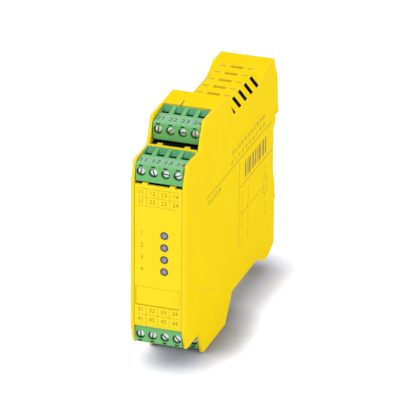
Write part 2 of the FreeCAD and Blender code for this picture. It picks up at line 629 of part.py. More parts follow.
def make_header():
    """Shroud fixed in the housing, open to the front, that takes the tail of a plug."""
    half = INNER - COVER_CLEARANCE
    inner = PLUG_WIDTH / 2 - TAIL_INSET + BAY_CLEARANCE
    low, top = -BAY_CLEARANCE, TAIL_HEIGHT + BAY_CLEARANCE
    shroud = block(-half, half, HEADER_FRONT, HEADER_END, low - BAY_FLOOR, top + BAY_FLOOR)
    shroud = shroud.cut(block(-inner, inner, HEADER_FRONT - OVERSHOOT, PLUG_LENGTH + BAY_CLEARANCE, low, top))
    for x in pole_x():
        shroud = shroud.cut(block(x - PIN / 2, x + PIN / 2, HEADER_FRONT, HEADER_END + OVERSHOOT,
                                  PIN_HEIGHT - PIN / 2, PIN_HEIGHT + PIN / 2))
    return shroud


def make_header_pins():
    """Square pins of one header, each bent at its own depth towards the circuit board."""
    pins = []
    for pole, x in enumerate(pole_x()):
        tail = HEADER_END + PIN_FIRST_BEND + pole * PIN_BEND_STEP
        low, top = PIN_HEIGHT - PIN / 2, PIN_HEIGHT + PIN / 2
        front = PLUG_LENGTH - BAY_FLOOR - PIN_GRIP
        straight = block(x - PIN / 2, x + PIN / 2, front, tail + PIN / 2, low, top)
        foot = min(BOARD_SIDE, x - PIN / 2)
        bent = block(foot, x + PIN / 2, tail - PIN / 2, tail + PIN / 2, low, top)
        pins.append(straight.fuse(bent).removeSplitter())
    return pins


# --- Electronics ---------------------------------------------------------------------
def board_outline():
    """Circuit board edge, stepped around the headers and under the slope of the ridge."""
    front = PLUG_SETBACK + PLUG_BODY
    first = PLUG_SETBACK + HEADER_END + BOARD_MARGIN
    second = first + TIER_DEPTH
    low = TIER_BASE - BAY_CLEARANCE - BAY_FLOOR - BOARD_MARGIN
    middle = low + TIER_HEIGHT
    high = TIER_BASE + TIER_HEIGHT + PIN_HEIGHT + 2 * PIN
    crest = RIDGE_END + PIN
    inset = SHOULDER_HALF - PIN
    upper = [
        (front, low), (first, low), (first, middle), (second, middle), (second, high), (crest, high),
        (crest + (high - inset) / FALL - PIN, inset), (CATCH_BACK - CATCH_BACK_WALL - BOARD_MARGIN, inset),
    ]
    return upper + [(depth, -height) for depth, height in reversed(upper)]


def make_board():
    """Main circuit board, standing beside the left side wall."""
    return across(side_face(board_outline()), BOARD_SIDE - BOARD, BOARD_SIDE)


def make_display_board():
    """Small board across the front edge of the main board, for the indicators."""
    middle = sum(lens_heights()) / LENS_COUNT
    front = PLUG_SETBACK + PLUG_BODY - DISPLAY_BOARD
    return block(BOARD_SIDE - BOARD, LENS_X + LENS, front, front + DISPLAY_BOARD,
                 middle - DISPLAY_HEIGHT / 2, middle + DISPLAY_HEIGHT / 2)


def make_leds():
    """Indicator lamps on the small board, one behind each light guide tip."""
    rear = PLUG_SETBACK + PLUG_BODY - DISPLAY_BOARD
    x0, x1 = LENS_X - LED_WIDTH / 2, LENS_X + LED_WIDTH / 2
    return Part.makeCompound([
        block(x0, x1, rear - LED_THICKNESS, rear, z - LED_HEIGHT / 2, z + LED_HEIGHT / 2)
        for z in lens_heights()
    ])


def relay_front():
    """Depth at which the relays start, behind the pin tails of the rear headers."""
    tails = HEADER_END + PIN_FIRST_BEND + POLES * PIN_BEND_STEP
    return PLUG_SETBACK + TIER_DEPTH + tails + RELAY_SETBACK


def make_relay(sign):
    """Sealed force-guided relay on the main board, above or below the middle."""
    rear = CATCH_BACK - CATCH_BACK_WALL - RELAY_REAR_GAP
    z0, z1 = sorted((sign * RELAY_GAP / 2, sign * (RELAY_GAP / 2 + RELAY_HEIGHT)))
    case = block(BOARD_SIDE, BOARD_SIDE + RELAY_WIDTH, relay_front(), rear, z0, z1)
    return bevelled(case, RELAY_EDGE, lambda p: p.x > 0)


def make_capacitor():
    """Round supply capacitor, standing on the main board above the upper relay."""
    radius = CAPACITOR_DIAMETER / 2
    foot = vec(BOARD_SIDE, relay_front() + CAPACITOR_DIAMETER, RELAY_GAP * 3 / 2 + RELAY_HEIGHT + radius)
    return Part.makeCylinder(radius, CAPACITOR_LENGTH, foot, vec(1, 0, 0))


def make_chips():
    """Logic circuits on the main board, between the plug bays and the relays."""
    front = PLUG_SETBACK + HEADER_END + 2 * BOARD_MARGIN
    chips = []
    for index in range(CHIP_COUNT):
        z = (index - (CHIP_COUNT - 1) / 2) * CHIP_PITCH
        chips.append(block(BOARD_SIDE, BOARD_SIDE + CHIP_THICKNESS, front, front + CHIP_LENGTH,
                           z - CHIP_HEIGHT / 2, z + CHIP_HEIGHT / 2))
    return Part.makeCompound(chips)


# --- Rail catch ----------------------------------------------------------------------
def make_catch():
    """Sliding rail catch with its nose, spring window and release slot."""
    flange = -RAIL_HALF
    slot = SEAT_DEPTH + RAIL_THICKNESS + RAIL_PLAY
    nose_end = slot + CATCH_NOSE
    neck_top = flange - RAIL_PLAY
    low = -BLOCK_HALF - CATCH_END
    neck = side_profile([
        (CATCH_BACK, low), (CATCH_FACE, low), (CATCH_FACE, neck_top - CATCH_NECK_HEIGHT),
        (nose_end - CATCH_NOSE / 2, neck_top - CATCH_NECK_HEIGHT), (nose_end, neck_top),
        (slot + CATCH_NOSE / 3, flange + CATCH_GRIP), (slot, flange + CATCH_GRIP), (slot, neck_top),
        (CATCH_BACK, neck_top),
    ], CATCH_NECK / 2)
    rails = side_profile([
        (CATCH_BACK, low + CATCH_FOOT), (CATCH_BACK + CATCH_GROOVE, low + CATCH_FOOT),
        (CATCH_BACK + CATCH_GROOVE, neck_top), (CATCH_BACK, neck_top),
    ], CATCH_WIDTH / 2)
    catch = neck.fuse(rails)
    window = WINDOW_WIDTH / 2
    window_low = SPRING_BOTTOM - ANCHOR_HEIGHT - CATCH_PLAY
    catch = catch.cut(block(-window, window, CATCH_BACK - OVERSHOOT, CATCH_FACE + OVERSHOOT,
                            window_low, SPRING_TOP))
    grip = CATCH_BACK + CATCH_THICKNESS / 2
    catch = catch.cut(block(-CATCH_SLOT / 2, CATCH_SLOT / 2, grip - SLOT_WIDTH, grip + SLOT_WIDTH,
                            low - OVERSHOOT, low + CATCH_FOOT / 2))
    return catch.removeSplitter()


def make_spring():
    """Zigzag strip spring between the peg of the housing and the top of the catch window."""
    half = SPRING_WIDTH / 2
    low, high = SPRING_BOTTOM + SPRING_SEAT, SPRING_TOP - SPRING_SEAT
    rise = (high - low - SPRING_STRIP) / SPRING_LEGS
    front = CATCH_BACK + (CATCH_THICKNESS - SPRING_DEPTH) / 2
    legs = []
    for leg in range(SPRING_LEGS):
        start = half if leg % 2 else -half
        z = low + leg * rise
        corners = [vec(start, front, z), vec(-start, front, z + rise),
                   vec(-start, front, z + rise + SPRING_STRIP), vec(start, front, z + SPRING_STRIP)]
        legs.append(Part.Face(Part.makePolygon(corners + corners[:1])).extrude(vec(0, SPRING_DEPTH, 0)))
    return legs[0].fuse(legs[1:]).removeSplitter()


# --- Output --------------------------------------------------------------------------
def write_step(name, shape):
    """Move the shape to the rail frame and write it as one STEP file."""
    moved = shape.copy()
    moved.translate(vec(0, -SEAT_DEPTH, 0))
    moved.exportStep(os.path.join("parts", name + ".step"))


def slot_angle(pole, tier, end):
    """Slot directions differ from screw to screw, as a screwdriver leaves them."""
    return (35 + 67 * pole + 101 * tier + ENDS[end] / 4) % 180


def all_parts():
    """Every node of the module with its shape."""
    parts = {
        "housing": make_housing(),
        "front_cover": make_cover(),
        "marker_plate": make_marker(),
        "light_guide": make_light_guide(),
        "circuit_board": make_board(),
        "display_board": make_display_board(),
        "indicator_leds": make_leds(),
        "relay_upper": make_relay(1),
        "relay_lower": make_relay(-1),
        "supply_capacitor": make_capacitor(),
        "logic_chips": make_chips(),
        "rail_catch": make_catch(),
        "catch_spring": make_spring(),
    }
    body, contacts, header, pins = make_plug_body(), make_contacts(), make_header(), make_header_pins()
    all_pins = []
    for end in ENDS:
        for row, tier in TIERS.items():
            place = f"{end}_{row}"
            parts[f"plug_{place}"] = placed(body, tier, end)
            parts[f"contacts_{place}"] = placed(contacts, tier, end)
            parts[f"header_{place}"] = placed(header, tier, end)
            all_pins += [placed(pin, tier, end) for pin in pins]
            for pole, x in enumerate(pole_x()):
                screw = make_screw(x, slot_angle(pole, tier, end))
                parts[f"screw_{place}_{pole + 1}"] = placed(screw, tier, end)
                parts[f"clamp_{place}_{pole + 1}"] = placed(make_clamp(x), tier, end)
    parts["header_pins"] = Part.makeCompound(all_pins)
    return parts


def main():
    os.makedirs("parts", exist_ok=True)
    for name, shape in all_parts().items():
        write_step(name, shape)


main()
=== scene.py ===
import json
import logging
import math
from dataclasses import dataclass, field
from enum import Enum

import bmesh
import bpy
from bpy.types import Material, Mesh, Node, NodeOutputs, NodeSocket, NodeTree, Object
from mathutils import Matrix, Vector


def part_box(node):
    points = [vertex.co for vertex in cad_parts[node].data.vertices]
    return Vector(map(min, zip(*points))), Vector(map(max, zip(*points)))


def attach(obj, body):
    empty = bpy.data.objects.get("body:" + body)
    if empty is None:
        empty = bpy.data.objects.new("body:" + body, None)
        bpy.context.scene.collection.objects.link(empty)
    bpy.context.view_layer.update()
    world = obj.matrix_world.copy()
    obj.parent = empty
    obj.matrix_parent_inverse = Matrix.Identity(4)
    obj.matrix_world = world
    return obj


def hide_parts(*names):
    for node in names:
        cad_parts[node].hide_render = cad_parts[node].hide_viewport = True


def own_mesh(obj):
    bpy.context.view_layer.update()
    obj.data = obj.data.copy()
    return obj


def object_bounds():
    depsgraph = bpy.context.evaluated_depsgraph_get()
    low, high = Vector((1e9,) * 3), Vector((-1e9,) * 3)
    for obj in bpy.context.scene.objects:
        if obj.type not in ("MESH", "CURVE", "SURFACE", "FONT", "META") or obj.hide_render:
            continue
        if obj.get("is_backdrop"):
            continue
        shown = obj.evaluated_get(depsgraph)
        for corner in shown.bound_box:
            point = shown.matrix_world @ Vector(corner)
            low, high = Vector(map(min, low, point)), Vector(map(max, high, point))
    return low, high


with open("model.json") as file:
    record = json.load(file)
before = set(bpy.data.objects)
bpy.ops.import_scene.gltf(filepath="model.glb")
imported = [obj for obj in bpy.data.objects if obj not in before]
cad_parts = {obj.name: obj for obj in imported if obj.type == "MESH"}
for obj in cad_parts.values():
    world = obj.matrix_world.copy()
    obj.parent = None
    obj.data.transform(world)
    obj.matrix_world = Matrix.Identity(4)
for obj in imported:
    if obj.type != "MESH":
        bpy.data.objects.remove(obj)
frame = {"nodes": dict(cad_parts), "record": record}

# Safety relay module on its studio table: finishes for every moulded, plated and
# laminated part, slotted terminal screws, generic print, and the studio around it.
# Everything is in metres in the module's own frame: X along the rail, Y to the rail, Z up.

log = logging.getLogger("relay_scene")
MM = 0.001
MIDDLE_DEPTH = 0.055             # half way through the module, from the rail to the front
LOOSE = 0.002 * MM               # corners nearer than this are one corner
POLES = 4                        # terminals in a plug
RIGHT, BACK, UP = Vector((1, 0, 0)), Vector((0, 1, 0)), Vector((0, 0, 1))


# --- Small helpers -------------------------------------------------------------------


def linear(hex_colour: str) -> tuple[float, float, float, float]:
    """Turns an sRGB hex colour into linear red, green, blue and alpha.

    Args:
        hex_colour: six hex digits after a '#'.

    Returns:
        The four channels that a Blender colour socket takes.
    """
    channels = []
    for start in (1, 3, 5):
        value = int(hex_colour[start:start + 2], 16) / 255
        channels.append(value / 12.92 if value <= 0.04045 else ((value + 0.055) / 1.055) ** 2.4)
    return (*channels, 1.0)


def add_node(tree: NodeTree, kind: str, settings: dict | None = None,
             inputs: dict | None = None) -> Node:
    """Adds one node to a tree, with its settings and links.

    Args:
        tree: the shader or geometry tree that receives the node.
        kind: Blender's own name of the node type.
        settings: properties of the node, by name.
        inputs: for each input, by name or number, a value, an output socket or a list of them.

    Returns:
        The new node.
    """
    made = tree.nodes.new(kind)
    for name, value in (settings or {}).items():
        setattr(made, name, value)
    for key, value in (inputs or {}).items():
        for item in value if isinstance(value, list) else [value]:
            if isinstance(item, NodeSocket):
                tree.links.new(item, made.inputs[key])
            else:
                made.inputs[key].default_value = item
    return made


def calc(tree: NodeTree, operation: str, *values: float | NodeSocket) -> NodeSocket:
    """Adds one sum of numbers or sockets and gives its result."""
    return add_node(tree, "ShaderNodeMath", {"operation": operation},
                    dict(enumerate(values))).outputs[0]


def vector(tree: NodeTree, **parts: float | NodeSocket) -> NodeSocket:
    """Puts a vector together from X, Y and Z, each nothing where it is left out."""
    return add_node(tree, "ShaderNodeCombineXYZ", inputs=parts).outputs[0]


def split(tree: NodeTree, source: NodeSocket) -> NodeOutputs:
    """Takes a vector apart into X, Y and Z."""
    return add_node(tree, "ShaderNodeSeparateXYZ", inputs={0: source}).outputs


def length(tree: NodeTree, x: NodeSocket, y: NodeSocket) -> NodeSocket:
    """Measures a flat vector of two parts."""
    return add_node(tree, "ShaderNodeVectorMath", {"operation": "LENGTH"},
                    {0: vector(tree, X=x, Y=y)}).outputs["Value"]


def link(name: str, data: bpy.types.ID) -> Object:
    """Makes an object of some data at the origin and links it into the scene.

    Args:
        name: the object's name.
        data: its mesh, curve, lamp or camera.

    Returns:
        The new object.
    """
    made = bpy.data.objects.new(name, data)
    bpy.context.scene.collection.objects.link(made)
    return made


def mesh_object(name: str, mesh: Mesh, material: Material) -> Object:
    """Links a finished mesh into the scene at the origin.

    Args:
        name: the piece's name.
        mesh: its mesh, already in the module's frame.
        material: its only finish.

    Returns:
        The new object.
    """
    mesh.materials.clear()
    mesh.materials.append(material)
    return link(name, mesh)


def evaluated_mesh(source: Object) -> Mesh:
    """Gives an object's mesh with its modifiers applied, and removes the object.

    Args:
        source: an object whose modifiers are all set.

    Returns:
        A plain mesh.
    """
    graph = bpy.context.evaluated_depsgraph_get()
    graph.update()
    mesh = bpy.data.meshes.new_from_object(source.evaluated_get(graph))
    bpy.data.objects.remove(source)
    return mesh


def merged_copy(node: str) -> bmesh.types.BMesh:
    """Gives an editable copy of a CAD node with its loose triangles joined.

    Args:
        node: the CAD node's name.

    Returns:
        A new mesh whose triangles are welded where their corners meet.
    """
    copy = bmesh.new()
    copy.from_mesh(frame["nodes"][node].data)
    bmesh.ops.remove_doubles(copy, verts=copy.verts, dist=LOOSE)
    return copy


def settled(edited: bmesh.types.BMesh, name: str) -> Mesh:
    """Turns an editable mesh into a plain one and frees it.

    Args:
        edited: the editable mesh.
        name: the plain mesh's name.

    Returns:
        The plain mesh.
    """
    mesh = bpy.data.meshes.new(name)
    edited.to_mesh(mesh)
    edited.free()
    return mesh


# --- What finishes share -------------------------------------------------------------


def blank(name: str) -> tuple[Material, NodeTree]:
    """Makes a material without nodes.

    Args:
        name: its name.

    Returns:
        The material and its tree.
    """
    material = bpy.data.materials.new(name)
    material.use_nodes = True
    material.node_tree.nodes.clear()
    return material, material.node_tree


def surface(tree: NodeTree, inputs: dict) -> None:
    """Ends a material in one Principled shader with these values and links."""
    shader = add_node(tree, "ShaderNodeBsdfPrincipled", inputs=inputs)
    add_node(tree, "ShaderNodeOutputMaterial", inputs={"Surface": shader.outputs[0]})


def spot_on(tree: NodeTree) -> NodeSocket:
    """Gives the place on the object that is shaded, in metres."""
    return add_node(tree, "ShaderNodeTexCoord").outputs["Object"]


def centred(tree: NodeTree) -> NodeSocket:
    """Gives the place that is shaded, from the module's middle."""
    return add_node(tree, "ShaderNodeMapping", inputs={
        "Vector": spot_on(tree), "Location": (0.0, MIDDLE_DEPTH, 0.0)}).outputs[0]


def noise(tree: NodeTree, place: NodeSocket, size: float, detail: float,
          **more: float) -> NodeSocket:
    """Adds a noise with this spacing in metres and gives its value."""
    return add_node(tree, "ShaderNodeTexNoise", inputs={
        "Vector": place, "Scale": 1 / size, "Detail": detail, **more}).outputs["Fac"]


def ramp(tree: NodeTree, value: NodeSocket, *stops: tuple[float, str]) -> NodeSocket:
    """Adds a colour ramp.

    Args:
        tree: the material's tree.
        value: what chooses the colour.
        stops: pairs of a place from 0 to 1 and a hex colour, in order.

    Returns:
        The colour.
    """
    made = add_node(tree, "ShaderNodeValToRGB", inputs={"Fac": value})
    elements = made.color_ramp.elements
    while len(elements) < len(stops):
        elements.new(1.0)
    for element, (place, colour) in zip(elements, stops):
        element.position = place
        element.color = linear(colour)
    return made.outputs["Color"]


def spread(tree: NodeTree, value: NodeSocket, source: tuple[float, float],
           target: tuple[float, float] = (0.0, 1.0), kind: str = "LINEAR") -> NodeSocket:
    """Maps one range of a value to another, and holds it there.

    Args:
        tree: the material's tree.
        value: what is mapped.
        source: its range, from the first end to the second.
        target: what those two ends become.
        kind: Blender's own name of the curve between them.

    Returns:
        The mapped value.
    """
    return add_node(tree, "ShaderNodeMapRange", {"interpolation_type": kind}, {
        "Value": value, "From Min": source[0], "From Max": source[1],
        "To Min": target[0], "To Max": target[1]}).outputs["Result"]


def mix(tree: NodeTree, share: NodeSocket, first: tuple | NodeSocket,
        second: tuple | NodeSocket) -> NodeSocket:
    """Mixes two colours by the share of the second."""
    return add_node(tree, "ShaderNodeMix", {"data_type": "RGBA"},
                    {"Factor": share, 6: first, 7: second}).outputs[2]


def open_sky(tree: NodeTree, reach: float, closed: float, clear: float) -> NodeSocket:
    """Gives 0 where walls within reach close a place off, and 1 where it is clear."""
    sky = add_node(tree, "ShaderNodeAmbientOcclusion", {"samples": 8}, {"Distance": reach})
    return spread(tree, sky.outputs["AO"], (closed, clear), kind="SMOOTHSTEP")


def bevel(tree: NodeTree, radius: float, samples: int = 6) -> NodeSocket:
    """Rounds edges in the shading and gives the normal."""
    return add_node(tree, "ShaderNodeBevel", {"samples": samples}, {"Radius": radius}).outputs[0]


def bump(tree: NodeTree, height: NodeSocket, depth: float, strength: float,
         **more: NodeSocket) -> NodeSocket:
    """Adds a fine relief and gives the normal."""
    return add_node(tree, "ShaderNodeBump", inputs={
        "Height": height, "Distance": depth, "Strength": strength, **more}).outputs["Normal"]


# --- What geometry trees share -------------------------------------------------------


def geometry_tree(name: str, sockets: dict[str, str]) -> NodeTree:
    """Starts a geometry tree.

    Args:
        name: the tree's name.
        sockets: the kind of each named input.

    Returns:
        The tree.
    """
    tree = bpy.data.node_groups.new(name, "GeometryNodeTree")
    for socket, kind in sockets.items():
        tree.interface.new_socket(name=socket, in_out="INPUT", socket_type="NodeSocket" + kind)
    tree.interface.new_socket(name="Geometry", in_out="OUTPUT",
                              socket_type="NodeSocketGeometry")
    return tree


def row_of(tree: NodeTree, piece: NodeSocket, count: NodeSocket, start: NodeSocket,
           step: NodeSocket) -> NodeSocket:
    """Sets a piece in a straight row.

    Args:
        tree: the geometry tree.
        piece: what is repeated.
        count: how many there are.
        start: where the first one stands.
        step: from one to the next.

    Returns:
        The row, still as instances.
    """
    line = add_node(tree, "GeometryNodeMeshLine", {"mode": "OFFSET", "count_mode": "TOTAL"},
                    {"Count": count, "Start Location": start, "Offset": step})
    return add_node(tree, "GeometryNodeInstanceOnPoints", inputs={
        "Points": line.outputs[0], "Instance": piece}).outputs[0]


def lowered(tree: NodeTree, piece: NodeSocket, height: NodeSocket) -> NodeSocket:
    """Moves a piece along Z."""
    return add_node(tree, "GeometryNodeTransform", inputs={
        "Geometry": piece, "Translation": vector(tree, Z=height)}).outputs[0]


def end_tree(tree: NodeTree, geometry: NodeSocket, finish: NodeSocket) -> None:
    """Ends a geometry tree: real meshes with one finish.

    Args:
        tree: the geometry tree.
        geometry: what it has made.
        finish: the finish's socket.
    """
    plain = add_node(tree, "GeometryNodeRealizeInstances", inputs={0: geometry})
    dressed = add_node(tree, "GeometryNodeSetMaterial", inputs={
        "Geometry": plain.outputs[0], "Material": finish})
    add_node(tree, "NodeGroupOutput", inputs={0: dressed.outputs[0]})


def grown(tree: NodeTree, mesh: Mesh, values: dict) -> Mesh:
    """Runs a geometry tree.

    Args:
        tree: the tree.
        mesh: what it starts from.
        values: its inputs by name.

    Returns:
        The mesh that it gives.
    """
    holder = link("raw_" + tree.name, mesh)
    modifier = holder.modifiers.new("tree", "NODES")
    modifier.node_group = tree
    for socket in tree.interface.items_tree:
        if socket.in_out == "INPUT" and socket.name in values:
            modifier[socket.identifier] = values[socket.name]
    return evaluated_mesh(holder)


# --- Finishes ------------------------------------------------------------------------


class Place(Enum):
    """The four terminal plugs, by the side of the cover and the step they stand on."""

    TOP_FRONT = "top_front"
    TOP_REAR = "top_rear"
    BOTTOM_FRONT = "bottom_front"
    BOTTOM_REAR = "bottom_rear"

    @property
    def side(self) -> int:
        """1 above the cover and -1 below it, where a plug is turned half round."""
        return 1 if self.value.startswith("top") else -1


@dataclass(frozen=True)
class MouldedPlastic:
    """Injection-moulded plastic: an even body colour, a fine spark-eroded skin, soft edges."""

    name: str
    colour: str
    tint: str                    # the slightly deeper tone of the flow marks
    shade_tone: str                    # painted shade: the tone at the bottom of slots and narrow gaps, where little light reaches
    roughness: float
    grain: float = 0.25 * MM     # spacing of the spark-eroded pits, drawn coarse enough to show
    relief: float = 0.006 * MM
    flow: float = 28 * MM        # length of the faint flow marks
    edge: float = 0.25 * MM      # rounding that the mould leaves on each edge
    reach: float = 4 * MM        # how near a wall has to be for painted shade to fall on a place
    closed_share: float = 0.06   # with less open sky than this, a place takes the full painted shade
    open_share: float = 0.5      # and with this much it keeps its full colour
    ior: float = 1.53
    specular: float = 0.22       # the spark-eroded skin scatters most of the mirror share
    edge_highlight: str = ""               # painted highlight: a paler tone along the edges, where light catches their rounding; none if empty
    highlight_width: float = 2.2      # width of those edges, in roundings
    highlight_share: float = 0.8      # how far they turn to that tone

    def make(self) -> Material:
        """Builds the material.

        Returns:
            A material with one Principled shader.
        """
        material, tree = blank(self.name)
        place = centred(tree)
        flow = noise(tree, place, self.flow, 3.0, Roughness=0.55, Distortion=0.6)
        tone = self.highlighted(tree, ramp(tree, flow, (0.3, self.colour), (0.75, self.tint)))
        # Painted shade: where walls close a place off, the colour turns to the shade tone.
        sky = open_sky(tree, self.reach, self.closed_share, self.open_share)
        grain = noise(tree, place, self.grain, 2.0)
        surface(tree, {
            "IOR": self.ior, "Specular IOR Level": self.specular,
            "Base Color": mix(tree, sky, linear(self.shade_tone), tone),
            "Roughness": spread(tree, grain, (0.3, 0.7),
                                (self.roughness - 0.05, self.roughness + 0.06)),
            "Normal": bump(tree, grain, self.relief, 0.6, Normal=bevel(tree, self.edge))})
        return material

    def highlighted(self, tree: NodeTree, colour: NodeSocket) -> NodeSocket:
        """Adds the painted highlight: a paler tone along outer edges.

        Args:
            tree: the material's nodes.
            colour: the body colour.

        Returns:
            The colour with painted highlights on its edges, or the colour itself where no highlight
            tone is set.
        """
        if not self.edge_highlight:
            return colour
        face = add_node(tree, "ShaderNodeNewGeometry")
        turned = add_node(tree, "ShaderNodeVectorMath", {"operation": "DOT_PRODUCT"},
                          {0: bevel(tree, self.edge * self.highlight_width),
                           1: face.outputs["True Normal"]})
        share = spread(tree, turned.outputs["Value"], (1.0, 0.8), (0.0, self.highlight_share))
        return mix(tree, share, colour, linear(self.edge_highlight))


@dataclass(frozen=True)
class PlatedMetal:
    """Metal with a thin plating: bright, with fine turning or rolling marks and dull patches."""

    name: str
    colour: str
    dull: str                    # tone where the plating is handled or oxidised
    roughness: float
    mark: float = 0.12 * MM      # spacing of the tool marks
    patch: float = 1.6 * MM      # size of the dull patches
    relief: float = 0.004 * MM
    edge: float = 0.08 * MM
    slot_shade: str = "#1B1A19"       # painted shade: the tone in slots and along the rim of a bore
    reach: float = 0.9 * MM
    closed_share: float = 0.15   # with less open sky than this, the painted shade is full
    open_share: float = 0.62     # and with this much there is none

    def make(self) -> Material:
        """Builds the material.

        Returns:
            A material with one Principled shader.
        """
        material, tree = blank(self.name)
        place = centred(tree)
        patches = noise(tree, place, self.patch, 4.0)
        tone = ramp(tree, patches, (0.35, self.colour), (0.8, self.dull))
        # Painted shade: in slots and along a bore's rim the colour turns to the shade tone.
        sky = open_sky(tree, self.reach, self.closed_share, self.open_share)
        marks = noise(tree, place, self.mark, 1.0)
        surface(tree, {
            "Metallic": 1.0, "Base Color": mix(tree, sky, linear(self.slot_shade), tone),
            "Roughness": spread(tree, patches, (0.3, 0.7),
                                (self.roughness - 0.06, self.roughness + 0.1)),
            "Normal": bump(tree, marks, self.relief, 0.5, Normal=bevel(tree, self.edge, 4))})
        return material


@dataclass(frozen=True)
class SolderMaskedLaminate:
    """Glass-epoxy board under green solder mask: tracks show as paler, slightly raised lines."""

    name: str = "solder_masked_laminate"
    mask: str = "#1C5A34"
    track: str = "#2F7A48"
    pitch: float = 1.27 * MM     # spacing of the tracks
    track_width: float = 0.3 * MM
    relief: float = 0.03 * MM
    run: int = 7                 # length of a track between turns, in pitches
    step: int = 2                # from one row of tracks to the next, in pitches
    roughness: float = 0.35
    ior: float = 1.5

    def make(self) -> Material:
        """Builds the material.

        Returns:
            A material with one Principled shader.
        """
        material, tree = blank(self.name)
        spot = split(tree, centred(tree))
        tracks = add_node(tree, "ShaderNodeTexBrick", inputs={
            "Vector": vector(tree, X=spot["Y"], Y=spot["Z"]),
            "Color1": linear(self.mask), "Color2": linear(self.mask),
            "Mortar": linear(self.track), "Scale": 1.0, "Brick Width": self.run * self.pitch,
            "Row Height": self.step * self.pitch, "Mortar Size": self.track_width,
            "Mortar Smooth": 0.2})
        surface(tree, {"Roughness": self.roughness, "IOR": self.ior,
                       "Base Color": tracks.outputs["Color"], "Normal": bump(
                           tree, tracks.outputs["Fac"], self.relief, 0.6)})
        return material


@dataclass(frozen=True)
class ClearPolycarbonate:
    """Clear polycarbonate light guide: polished tips, a lilac-grey core and a darker rim of painted
    shade towards each tip's edge.
    """

    name: str = "polished_polycarbonate"
    core: str = "#958EB4"
    body: str = "#7F7A92"
    # the rim tone is painted shade at the edge of each tip
    rim: str = "#37343A"
    tip: float = 1.55 * MM       # radius of a tip
    edge: float = 0.4 * MM
    axis_x: float = 2.55 * MM
    first_z: float = 9.35 * MM
    pitch: float = 5.08 * MM
    roughness: float = 0.12
    ior: float = 1.585

    def make(self) -> Material:
        """Builds the material, whose colour follows the distance from the nearest tip's axis.

        Returns:
            A material with one Principled shader.
        """
        material, tree = blank(self.name)
        spot = split(tree, spot_on(tree))
        across = calc(tree, "SUBTRACT", spot["X"], self.axis_x)
        above = calc(tree, "SUBTRACT", spot["Z"], self.first_z)
        along = calc(tree, "WRAP", above, self.pitch / 2, -self.pitch / 2)
        share = calc(tree, "DIVIDE", length(tree, across, along), self.tip)
        tone = ramp(tree, share, (0.0, self.core), (0.25, self.core), (0.6, self.body),
                    (0.85, self.rim))
        surface(tree, {"Roughness": self.roughness, "IOR": self.ior, "Base Color": tone,
                       "Normal": bevel(tree, self.edge)})
        return material


@dataclass(frozen=True)
class PadInk:
    """Pad-printed ink: thin, matt and a little patchy, so the plastic's tone comes through."""

    name: str
    colour: str
    thin: str                    # tone where the film is thinnest
    patch: float = 0.8 * MM
    roughness: float = 0.6

    def make(self) -> Material:
        """Builds the material.

        Returns:
            A material with one Principled shader.
        """
        material, tree = blank(self.name)
        patches = noise(tree, spot_on(tree), self.patch, 2.0)
        surface(tree, {"Roughness": self.roughness, "Base Color": ramp(
            tree, patches, (0.35, self.colour), (0.7, self.thin))})
        return material


@dataclass(frozen=True)
class TableTop:
    """White table: matt, with the module's shadow kept close to where it stands."""

    name: str = "matt_white_table"
    reach: float = 17 * MM       # width of the contact shadow
    # The light comes from the front left, so the open sky is looked for over there.
    lean: tuple[float, float, float] = (-0.6, -0.42, 0.68)
    contact: str = "#34363F"     # what the camera sees in the contact shadow
    middle: str = "#9A9CA5"
    clear: str = "#F0F0F1"       # and beyond it, before the lamps add to it
    white: str = "#F0F1F4"       # what the other rays see
    dim: str = "#88898F"         # the share of the lamps that the camera sees

    def make(self) -> Material:
        """Builds the material.

        Returns:
            A material that is plain diffuse white to every ray but the camera's.
        """
        material, tree = blank(self.name)
        path = add_node(tree, "ShaderNodeLightPath")
        matt = add_node(tree, "ShaderNodeBsdfDiffuse", inputs={"Color": linear(self.white)})
        toward = vector(tree, X=self.lean[0], Y=self.lean[1], Z=self.lean[2])
        sky = add_node(tree, "ShaderNodeAmbientOcclusion", {"samples": 16},
                       {"Distance": self.reach, "Normal": toward})
        tone = ramp(tree, sky.outputs["AO"], (0.4, self.contact), (0.68, self.middle),
                    (0.94, self.clear))
        glow = add_node(tree, "ShaderNodeEmission", inputs={"Color": tone})
        dim = add_node(tree, "ShaderNodeBsdfDiffuse", inputs={"Color": linear(self.dim)})
        lifted = add_node(tree, "ShaderNodeAddShader",
                          inputs={0: dim.outputs[0], 1: glow.outputs[0]})
        seen = add_node(tree, "ShaderNodeMixShader", inputs={
            0: path.outputs["Is Camera Ray"], 1: matt.outputs[0], 2: lifted.outputs[0]})
        add_node(tree, "ShaderNodeOutputMaterial", inputs={"Surface": seen.outputs[0]})
        return material


